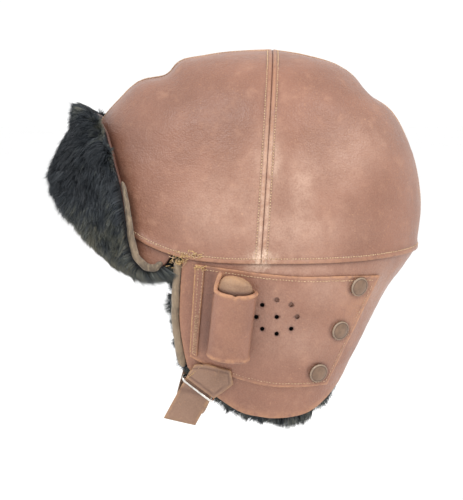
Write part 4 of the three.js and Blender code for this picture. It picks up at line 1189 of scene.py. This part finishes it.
def chin_strap():
    across = STRAP_WIDTH * (spread(13, STRAP_WIDTH, 0.55) - 0.5)
    points = np.stack([strap_point(across, *row) for row in strap_stations()], axis=1)
    _, (first, last, start, _) = edge_distance(points)
    relief = rumple(points, (0.2, (6, 9, 6), 61), (0.08, (2.4, 3, 2.2), 62))
    marks = {
        "wear": 0.8 * bell(np.minimum(first, last), 0.9) + 0.8 * bell(start, 1.0),
        # Painted shadow across the strap beside the wire loop's bar
        "grime": 0.5 * bell(start - 24, 2.2),
    }
    strap = skin("chin_strap_skin", points, -STRAP_LEATHER / 2, STRAP_LEATHER / 2, 0.6, relief, marks)
    stand_for(dress(strap, tab_leather, inner_leather), "brown_leather", "chin_strap")


def tab_piece(name):
    u, v = grid(spread(26, 25, 0.6), spread(24, 16, 0.6))
    across, up = (lerp(line(TAB_HEAD, u, k), line(TAB_FOOT, u, k), v) for k in (1, 2))
    points = on_skirt(*strap_place(across, -up), 0.0)
    low = lerp(PANEL_OUT + GAP, TAB_LOW, ease(0, TAB_STEP, v))
    reach, (_, back, top, bottom) = edge_distance(points)
    hem = np.minimum.reduce([back, bottom, top])
    relief = 0.35 * ease(2.6, 1.9, hem) + rumple(points, (0.18, (6, 7, 6), 66), (0.07, (2.4, 2.8, 2.4), 67))
    marks = {"wear": 0.75 * bell(reach, 0.8), "grime": 0.7 * bell(hem - 2.7, 0.5)}
    return skin(name, points, low, low + TAB_LEATHER, 0.6, relief, marks)


def wire_loop():
    radius = WIRE_DIAMETER / 2
    bar = np.array([0, math.cos(WIRE_SLANT), -math.sin(WIRE_SLANT)])
    facing = unit(np.cross(bar, skirt_normal(BAR_Y, BAR_Z)))
    outwards = unit(np.cross(facing, bar))
    half_long = STRAP_WIDTH / 2 / math.cos(WIRE_SLANT - STRAP_SLANT) + WIRE_SLACK + radius
    half_deep = (OUTER_LAYER - INNER_LAYER) / 2 + STRAP_LEATHER / 2 + WIRE_SLACK + radius
    centre = on_skirt(BAR_Y, BAR_Z, (INNER_LAYER + OUTER_LAYER) / 2)
    corner = 0.8 * half_deep
    path = []
    for turn, (along_sign, out_sign) in enumerate(((1, 1), (-1, 1), (-1, -1), (1, -1))):
        straight = bar * along_sign * (half_long - corner)
        for i in range(9):
            angle = (turn + i / 8) * math.pi / 2
            out = out_sign * (half_deep - corner) + corner * math.sin(angle)
            path.append(centre + straight + bar * corner * math.cos(angle) + outwards * out)
        if turn in (0, 2):
            path += [path[-1] - 2 * straight * step for step in (0.2, 0.4, 0.6, 0.8)]
    ring = tube_along("wire_loop_skin", path, 14, radius, facing, closed=True)
    stand_for(dress(ring, bright_wire), "bright_wire", "wire_loop")


chin_strap()
both_sides(tab_piece, "strap_tab", "brown_leather", tab_leather, inner_leather)
wire_loop()


# Rolled skin edges

def smooth_path(points, count):
    """Even points along a Catmull-Rom curve through the given ones."""
    length = run_length(points)
    rows = [(s, *p) for s, p in zip(length, points)]
    at = np.linspace(0, length[-1], count)
    return np.stack([table(rows, at, k) for k in (1, 2, 3)], axis=-1)


def rough_tube(name, centres, radius, across, seed):
    """Tube with a fibrous, slightly uneven skin and closed, tapered ends."""
    sides, count = 22, len(centres)
    share = np.linspace(0, 1, count)
    taper = np.sqrt(np.clip(1 - np.clip(1 - np.minimum(share, 1 - share) * 14, 0, 1) ** 2, 0.02, 1))
    angle = circle(sides)
    around = stack(np.arange(1, count + 1)[:, None], 4 * np.cos(angle), 4 * np.sin(angle))
    rough = 1 + rumple(around, (0.1, (5, 3, 3), seed), (0.06, (2, 1.6, 1.6), seed + 1))
    return tube_along(name, centres, sides, (radius * taper)[:, None] * rough, unit(np.array(across)))


def edge_roll_piece(name):
    radius, step = EDGE_ROLL_WIDTH / 2, 0.01
    v = np.linspace(0.02, 1.0, 10)
    front = np.zeros(v.shape)
    edge = skirt(front, v)
    along = skirt(front, v + step) - skirt(front, v - step)
    normal = unit(np.cross(along, skirt(front + 1e-3, v) - edge))
    beyond = unit(np.cross(along, normal))
    inwards = LEATHER / 2 + EDGE_ROLL_THICKNESS - EDGE_ROLL_WIDTH
    centres = edge + beyond * (GAP + radius + 0.4) - normal * inwards
    return rough_tube(name, smooth_path(centres, 90), 1.18 * radius, (0.3, 1, 0), 71)


def flap_edge_piece(name):
    step, count = 0.01, 110
    w = np.linspace(0.12, 0.89, 18)
    last = np.ones(w.shape)
    here = brow(last, w)
    along = brow(last, w + step) - brow(last, w - step)
    normal = unit(np.cross(along, here - brow(last - 1e-3, w)))
    path = smooth_path(here + unit(np.cross(normal, along)) * CUT_EDGE_RADIUS * 0.6, count)
    radius = CUT_EDGE_RADIUS * (1.3 - 0.5 * ease(0.35, 0.95, np.linspace(0, 1, count)))
    return rough_tube(name, path, radius, (1.0, 0.2, 0), 75)


both_sides(edge_roll_piece, "edge_roll", "tan_skin", tan_skin)
both_sides(flap_edge_piece, "flap_edge", "tan_skin", tan_skin)


# Brow flap

def brow_grid(columns, rows):
    u, w = grid(spread(columns, 235, 0.8), spread(rows, 100, 0.8))
    return u, w, brow(u, w)


def brow_flap():
    _, w, points = brow_grid(76, 44)
    reach, _ = edge_distance(points)
    relief = rumple(points, (0.3, (18, 20, 14), 81), (0.1, (5, 6, 4), 82))
    # Darker edges, and a painted shadow along the flap's upper edge where it meets the crown under the fur
    grime = 0.3 * bell(reach, 5) + 0.6 * bell(reach, 1.2) + ease(0.85, 0.95, w)
    marks = {"wear": 0.15 * bell(reach, 1.2), "grime": grime}
    flap = skin("front_flap_skin", points, -LEATHER / 2, LEATHER / 2, 0.8, relief, marks)
    stand_for(dress(flap, brown_leather, fur_skin), "inner_leather", "front_flap")


brow_flap()


# Fur

rng = np.random.default_rng(29)


def sample(points, normals, count, keep=1.0):
    """Random places on a grid surface, spread evenly: position, normal and grid shares."""
    across = points[1:, :-1] - points[:-1, :-1]
    down = points[:-1, 1:] - points[:-1, :-1]
    area = np.linalg.norm(np.cross(across, down), axis=-1)
    area = area * np.broadcast_to(keep, points.shape[:2])[:-1, :-1]
    total = np.cumsum(area.ravel())
    cell = np.searchsorted(total, rng.random(count) * total[-1])
    i, j = np.divmod(cell, area.shape[1])
    fu, fv = rng.random(count), rng.random(count)

    def blend(values):
        top = lerp(values[i, j], values[i + 1, j], fu[:, None])
        return lerp(top, lerp(values[i, j + 1], values[i + 1, j + 1], fu[:, None]), fv[:, None])

    shares = np.stack([(i + fu) / area.shape[0], (j + fv) / area.shape[1]], axis=-1)
    return blend(points), unit(blend(normals)), shares


def strands(name, roots, start, tip, length, width, shade, clump, pull):
    """Tapered flat strands, each bending from its start direction to its tip, gathered into clumps."""
    count = len(roots)
    start, tip, clumps = unit(start), unit(tip), count // clump
    ends = roots + (0.5 * start + 0.5 * tip) * length[:, None]
    ends += rng.normal(0, HAIR_STRAY, ends.shape)
    chosen = rng.choice(count, clumps, replace=False)
    tree = KDTree(clumps)
    for k, index in enumerate(chosen):
        tree.insert(roots[index], k)
    tree.balance()
    leader = chosen[np.array([tree.find(place)[1] for place in roots])]
    shade = np.clip(shade + 0.12 * rng.normal(0, 1, count)[leader] + 0.07 * rng.normal(0, 1, count), 0, 1)
    ends = lerp(ends, ends[leader] + 0.25 * (roots - roots[leader]), pull)
    middle = roots + start * (HAIR_BEND * length)[:, None]
    side = unit(np.cross(ends - roots, rng.normal(0, 1, roots.shape)))
    places = np.empty((count, 5, 3))
    for k, (share, narrow) in enumerate(((0.0, 1.0), (HAIR_BEND, 0.7))):
        centre = roots * (1 - share) ** 2 + 2 * middle * share * (1 - share) + ends * share * share
        places[:, 2 * k] = centre - side * 0.5 * width * narrow
        places[:, 2 * k + 1] = centre + side * 0.5 * width * narrow
    places[:, 4] = ends
    first = 5 * np.arange(count)[:, None]
    marks = {"shade": np.repeat(shade, 5), "root": np.tile([0, 0, HAIR_BEND, HAIR_BEND, 1.0], count)}
    faces = [first + [0, 1, 3, 2], first + [2, 3, 4]]
    return dress(make_mesh(name, places.reshape(-1, 3), faces, marks), black_fur)


def pad_height(u, w):
    return FUR_PAD * table(FUR_ROWS, w) * (1 - 0.35 * np.abs(2 * u - 1) ** 6)


def brow_fur(part, low_share, high_share):
    """One third of the brow flap's fur, between two shares of the flap's width."""
    u, w, points = brow_grid(120, 70)
    normals = -grid_normals(points)
    base = points + normals * (LEATHER / 2 + GAP + 0.45 * pad_height(u, w))[..., None]
    ends = 2 * ease(0.93, 1.0, np.abs(2 * u - 1)) + ease(0.94, 1.0, w)
    keep = ((u >= low_share) & (u < high_share)) * ease(-0.02, 0.1, w) * (1 + 1.2 * ends)
    roots, normal, shares = sample(base, normals, BROW_STRANDS, keep)
    wide, climb = np.abs(2 * shares[:, 0] - 1), shares[:, 1]

    # Where the strands lie: 1 in the named part of the flap, 0 away from it
    top = ease(0.88, 1.0, climb)
    spill = ease(0.9, 1.0, wide) * ease(0.86, 0.92, climb)
    beside = ease(0.8, 0.92, wide) * ease(0.86, 0.8, climb) * ease(0.34, 0.44, climb)
    corner = ease(0.84, 0.96, wide) * ease(0.36, 0.26, climb)
    cover = ease(0.4, 0.6, wide) * ease(0.93, 0.97, climb)
    hanging = ease(0.5, 0.8, wide) * ease(0.45, 0.2, climb)
    nose = ease(0.6, 0.3, wide) * bell(climb - 0.6, 0.16)
    under = ease(0.35, 0.7, wide) * ease(0.62, 0.42, climb) * (1 - hanging)
    centre = ease(0.5, 0.2, wide)

    rear, up = np.array([0, 1.0, 0]), np.array([0, 0, 1.0])
    over = stack(0.7 * np.sign(roots[:, 0]), 0.7, 0.0)
    comb = unit(normal * normal[:, 2:] - up)
    drift = 0.35 * sway(roots, 19, 91, 0.6) + 0.3 * sway(roots, 6, 97, 0.6)
    start = normal * (0.95 + 0.5 * top)[:, None] + comb * 0.3 + drift + up * (0.4 * top)[:, None]
    start += rear * (0.9 * corner - 0.5 * beside)[:, None] + over * (1.2 * spill)[:, None]
    start += (up - 0.5 * normal) * cover[:, None]
    tip = normal * (0.3 + 0.35 * nose + 0.5 * top)[:, None] + comb * (1.0 - 0.3 * nose - 0.5 * spill)[:, None]
    tip += 1.1 * drift + up * (0.85 * top)[:, None] + over * (1.2 * spill)[:, None]
    tip += rear * (0.4 * wide ** 1.5 + 1.1 * corner - 0.65 * beside)[:, None]
    tip += (0.6 * up + 0.5 * rear - 1.2 * normal) * cover[:, None]
    length = 11.5 * (1 + 0.2 * noise(roots, 9, 94) + 0.12 * rng.normal(0, 1, BROW_STRANDS))
    length *= (1 - 0.18 * top + 0.2 * top * centre) * (1 - 0.3 * under)
    length *= (1 + 0.32 * nose) * (1 + 0.3 * hanging)
    length *= (1 - 0.22 * centre * bell(climb - 0.42, 0.12)) * (1 - 0.15 * corner) * (1 - 0.45 * cover)
    length *= 1 - 0.25 * ease(0.6, 0.3, wide) * bell(climb - 0.84, 0.07)
    # Painted light: strands low on the flap, on its undersides and low at its front are made paler, standing
    # for light through their thin tips
    shade = 0.24 + 0.26 * ease(-85, -130, roots[:, 2]) + 0.26 * ease(0.05, -0.6, normal[:, 2])
    shade += 0.3 * spill + 0.12 * beside + 0.3 * cover + rumple(roots, (0.12, 15, 96), (0.1, 5, 90))
    shade += top * (0.45 * ease(-0.4, 0.4, noise(roots, 12, 95)) + 0.22 * centre)
    shade += 0.36 * ease(-86, -102, roots[:, 1]) * bell(roots[:, 2] + 113, 20)
    fur = strands(f"front_fur_{part}", roots, start, tip, length, 0.3, shade, 22, 0.4)
    stand_for(fur, "black_fur", "front_fur")


def fur_pads():
    """Dark skin that the strands grow from."""
    u, w, points = brow_grid(60, 36)
    clear = -LEATHER / 2 - GAP
    skin_under = skin("front_fur_skin", points, clear - 0.6 * pad_height(u, w), clear, 1.5)
    stand_for(dress(skin_under, fur_skin, fur_skin), "black_fur", "front_fur")


def lining_grid(columns, rows):
    u, v = grid(LINING_REACH * spread(columns, 170, 1.2), spread(rows, 95, 1.2))
    overhang = lerp(-0.5 * LINING_OVERHANG, LINING_OVERHANG, ease(0.12, 0.24, u))
    return v, skirt(u, lerp(0.06, 1.0, v), overhang)


def lining_piece(name):
    _, points = lining_grid(46, 32)
    top = -LEATHER - LINING_SEAT
    return skin(name, points, top - 0.7 * LINING_THICKNESS, top, 1.2)


def fringe(curve, away, inward, count, deep):
    """Random roots along an edge, with the directions away from it and into the helmet."""
    length = run_length(curve)
    at = rng.random(count) * length[-1]
    away, inward = (unit(read_path(at, length, values)) for values in (away, inward))
    roots = read_path(at, length, curve)
    roots = roots - away * rng.uniform(0, 2.5, (count, 1)) + inward * rng.uniform(0, deep, (count, 1))
    return roots, away, inward, at / length[-1]


def lining_fur(name):
    """Fur inside the ear flap, its fringe standing out below the hem and ahead of the front edge."""
    v, points = lining_grid(90, 60)
    outward = grid_normals(points)
    below = unit(np.cross(outward, np.gradient(points, axis=0)))
    below *= -np.sign(below[..., 2:])
    ahead = unit(np.cross(outward, np.gradient(points, axis=1)))
    ahead *= -np.sign(ahead[..., 1:2])
    base = points - outward * (LEATHER + LINING_SEAT + 0.5 * LINING_THICKNESS)
    roots, normal, _ = sample(base, -outward, LINING_STRANDS)
    drift = 0.4 * sway(roots, 8, 101)
    start = normal * 0.9 + np.array([0, 0, -0.4]) + drift
    tip = normal * 0.3 + np.array([0, 0, -0.9]) + 1.2 * drift
    length = 8.0 * (1 + 0.2 * noise(roots, 5, 104) + 0.12 * rng.normal(0, 1, LINING_STRANDS))
    parts = [(roots, start, tip, length, 0.3 + 0.12 * noise(roots, 12, 105))]
    hem_edge = (points - outward * (LEATHER + LINING_SEAT))[:, -1]
    front_edge = skirt(0 * v[0], lerp(-0.01, 1.0, v[0])) - outward[0] * (LEATHER + LINING_SEAT)

    def hem_length(share):
        return 1 + 0.68 * bell(share - 0.68, 0.13)

    def front_length(share):
        return 1 + 0.4 * bell(share - 0.46, 0.09) - 0.15 * ease(0.6, 0.8, share)

    for curve, away, inward, count, long, along_edge in (
        (hem_edge, below[:, -1], -outward[:, -1], HEM_STRANDS, 7.2, hem_length),
        (front_edge, ahead[0], -outward[0], FRONT_STRANDS, 9.0, front_length),
    ):
        roots, away, inward, share = fringe(curve, away, inward, count, 3.2)
        drift = 0.55 * sway(roots, 5, 106)
        start = away * 0.9 + inward * 0.15 + 0.7 * drift
        tip = away * 0.8 + np.array([0, 0, -0.45]) + 1.3 * drift
        tufts = rumple(roots, (0.22, 6, 109), (0.14, 2.4, 110))
        length = long * (1 + tufts + 0.1 * rng.normal(0, 1, count)) * along_edge(share)
        parts.append((roots, start, tip, length, 0.66 + 0.2 * noise(roots, 7, 111)))
    roots, start, tip, length, shade = (np.concatenate(values) for values in zip(*parts))
    return strands(name, roots, start, tip, length, 0.32, shade, 10, 0.3)


fur_pads()
for third, (third_start, third_end) in enumerate(((0.0, 0.33), (0.33, 0.66), (0.66, 1.01)), 1):
    brow_fur(third, third_start, third_end)
both_sides(lining_piece, "lining_pad", "black_fur", fur_skin, fur_skin, nodes="ear_lining")
left_lining = lining_fur("lining_fur_left")
for lining, lining_side in ((left_lining, "left"), (mirror(left_lining, "lining_fur_right"), "right")):
    stand_for(lining, "black_fur", f"ear_lining_{lining_side}")


# Stitches

class Thread:
    """Collects the stitches of one thread colour into a single piece."""

    def __init__(self):
        self.rings = []

    def stitch(self, start, end, normal, radius, rise=0.26, sink=0.3):
        """One stitch from start to end, bowed outwards and sunk into the leather at both ends."""
        share = np.array([0.0, 0.22, 0.78, 1.0])
        height = np.array([-sink, 0.9 * rise, 0.9 * rise, -sink])
        thick = radius * np.array([0.6, 1.0, 1.0, 0.6])
        centres = start + (end - start) * share[:, None] + normal * height[:, None]
        angle = circle(4)[:, None]
        ring = normal * np.cos(angle) + np.cross(unit(end - start), normal) * np.sin(angle)
        self.rings.append(centres[:, None] + ring * thick[:, None, None])

    def run(self, path, normals, pitch, fill, radius, wander=0.12):
        """Stitches in a row along a path on the leather."""
        length = run_length(path)
        count = int(length[-1] / pitch)
        pitch = length[-1] / count
        for i in range(count):
            s = pitch * (i + 0.5) + rng.normal(0, 0.05 * pitch)
            half = 0.5 * pitch * fill * (1 + rng.normal(0, 0.08))
            drift = rng.normal(0, wander, 3)
            start, end = (read_path(at, length, path) for at in (s - half, s + half))
            self.stitch(start + drift, end + 0.6 * drift, unit(read_path(s, length, normals)), radius)

    def piece(self, name, material):
        rings = np.array(self.rings)
        index = np.arange(rings.size // 3).reshape(rings.shape[:-1])
        faces = [ring_faces(index[:, k], index[:, k + 1]) for k in range(3)]
        faces += [index[:, 0, ::-1], index[:, 3]]
        return dress(make_mesh(name, rings.reshape(-1, 3), faces), material)


def crown_run(thread, azimuth, t, out, radius):
    normals = face_normal(shell, azimuth, t)
    thread.run(shell(azimuth, t) + normals * out, normals, STITCH, STITCH_FILL, radius, 0.06)


def stitching():
    cream, golden = Thread(), Thread()
    h = 1e-3
    t = np.linspace(0.02, 0.985, 160)
    seam = seam_azimuth(t)
    away = SEAM_LINE / (np.linalg.norm(shell(seam + h, t) - shell(seam - h, t), axis=-1) / (2 * h))
    for azimuth, radius in ((seam - away, 0.4), (seam + away, 0.4), (away, 0.38), (math.pi - away, 0.38)):
        crown_run(cream, azimuth, t, -0.35, radius)
    azimuth = np.linspace(0.05, math.pi - 0.03, 240)
    edge = np.ones(azimuth.shape)
    speed = np.linalg.norm(shell(azimuth, edge) - shell(azimuth, edge - h), axis=-1) / h
    crown_run(cream, azimuth, edge - HEM_STITCH / speed, 0.55, 0.38)
    for u, v, radius in (
        (np.linspace(0.06, 0.97, 120), 0.04, 0.3),
        (np.linspace(0.2, 0.97, 120), 0.962, 0.24),
        (0.976, np.linspace(0.06, 0.96, 90), 0.24),
    ):
        points, normals = panel_line(*np.broadcast_arrays(u, v))
        cream.run(points + normals * (PANEL_OUT - 0.1), normals, PANEL_STITCH, STITCH_FILL, radius)
    welt_threads(golden, cream)
    repair_threads(golden, cream)
    tab_threads(golden)
    return cream, golden


def welt_threads(golden, cream):
    top = PANEL_OUT + GAP + WELT_LEATHER
    for place, last, thread in ((0.13, 0.94, golden), (0.42, 0.94, cream), (0.85, 0.5, cream)):
        v = np.linspace(0.03, last, 90)
        points, normals = panel_line(np.full(v.shape, WELT_SHARE * place), v)
        thread.run(points + normals * (top - 0.1), normals, PANEL_STITCH, 0.7, 0.22, 0.08)
    for v in np.linspace(0.52, 0.93, 24):
        inner, normal = panel_line(WELT_SHARE * 0.3, v)
        outer, _ = panel_line(WELT_SHARE * 0.9, v + 0.006 * rng.normal())
        cream.stitch(inner + normal * top, outer + normal * top, normal, 0.17, 0.2)
    for _ in range(22):
        point, normal = panel_line(WELT_SHARE * rng.uniform(0.1, 1.1), rng.uniform(0.0, 0.05))
        turn = rng.normal(0, 1, 3) * np.array([0.3, 1.3, 0.9])
        golden.stitch(point + normal * top, point + normal * top + turn, normal, 0.24, 0.5)


def repair_threads(golden, cream):
    """Loose repair threads where the brow flap, the crown and the ear flap meet."""
    _, middle_y, middle_z = skirt(np.array(0.01), np.array(0.02))
    for k in range(120):
        row = k % 2
        y = middle_y + (rng.uniform(-10, 12) if row else rng.normal(-3.5, 2.8))
        z = middle_z + (rng.normal(3.0, 1.0) if row else rng.normal(-1.2, 1.7))
        base = on_skirt(y, min(z, SEAM_Z - 0.2), 1.2) + np.array([0, 0, max(z - SEAM_Z + 0.2, 0)])
        turn = np.array([rng.normal(0, size) for size in (0.5, 1.6, 1.1)])
        (golden if k % 3 else cream).stitch(base, base + turn, skirt_normal(y, z), 0.2, 0.6, 0.4)


def tab_threads(golden):
    foot, head = np.array(TAB_SEAM)
    for share in np.linspace(0, 1, 9):
        out = lerp(TAB_LOW, PANEL_OUT + GAP, ease(0.2, 0.9, share)) + TAB_LEATHER + 0.1
        places = [strap_place(*(lerp(foot, head, share + step) * (1, -1))) for step in (0, 0.08)]
        start, end = (on_skirt(*place, out) for place in places)
        golden.stitch(start, end, skirt_normal(*places[0]), 0.34, 0.35)


thread_colours = (cream_thread, golden_thread)
for thread_name, threads, thread_colour in zip(("cream", "golden"), stitching(), thread_colours):
    left_threads = threads.piece(f"stitches_{thread_name}_left", thread_colour)
    for thing in (left_threads, mirror(left_threads, f"stitches_{thread_name}_right")):
        stand_for(thing, "tan_skin")


# Floor, lights and camera

def floor():
    """Broad flat pale floor, well clear of the helmet."""
    x, y = grid(np.linspace(-FLOOR_REACH, FLOOR_REACH, 25), np.linspace(-FLOOR_REACH, FLOOR_REACH, 25))
    index = np.arange(x.size).reshape(x.shape)
    plane = make_mesh("floor", stack(x, y, FLOOR_HEIGHT).reshape(-1, 3), [grid_faces(index)[:, FLIPPED]])
    n = Nodes("pale_floor")
    colour = n.mix(n.noise(3, 2), (0.93, 0.93, 0.93, 1), (0.96, 0.96, 0.96, 1))
    dress(plane, n.finish(colour, 0.9, Specular_IOR_Level=0.1))


def aim(thing, target):
    thing.rotation_euler = (Vector(target) - thing.location).to_track_quat("-Z", "Y").to_euler()


def area_light(name, place, power):
    light = bpy.data.lights.new(name, "AREA")
    light.shape = "DISK"
    light.size = LIGHT_SIZE
    light.energy = power
    thing = place_in_scene(name, light)
    thing.location = place
    aim(thing, (0, 0, -0.12))


def studio():
    world = bpy.data.worlds.new("white_room")
    world.use_nodes = True
    background = world.node_tree.nodes["Background"]
    background.inputs["Color"].default_value = (1, 1, 1, 1)
    background.inputs["Strength"].default_value = WORLD_STRENGTH
    bpy.context.scene.world = world
    area_light("key", (0.9, -0.75, 1.15), 11)
    area_light("back", (0.75, 0.85, 0.95), 8)
    bpy.context.scene.view_settings.view_transform = "Standard"
    bpy.context.scene.view_settings.look = "None"


def camera():
    """The photograph's view: from the wearer's left, five degrees above the helmet."""
    distance, rise, metres_per_pixel, pixels_high, sensor = 1.5, math.radians(5), 0.68e-3, 500, 36.0
    target = Vector((0, -0.02482, -0.13366))
    lens = bpy.data.cameras.new("photo_camera")
    lens.sensor_width = sensor
    lens.lens = sensor * distance / (metres_per_pixel * pixels_high)
    thing = place_in_scene("photo_camera", lens)
    thing.location = target + distance * Vector((math.cos(rise), 0, math.sin(rise)))
    aim(thing, target)
    bpy.context.scene.camera = thing


floor()
studio()
camera()
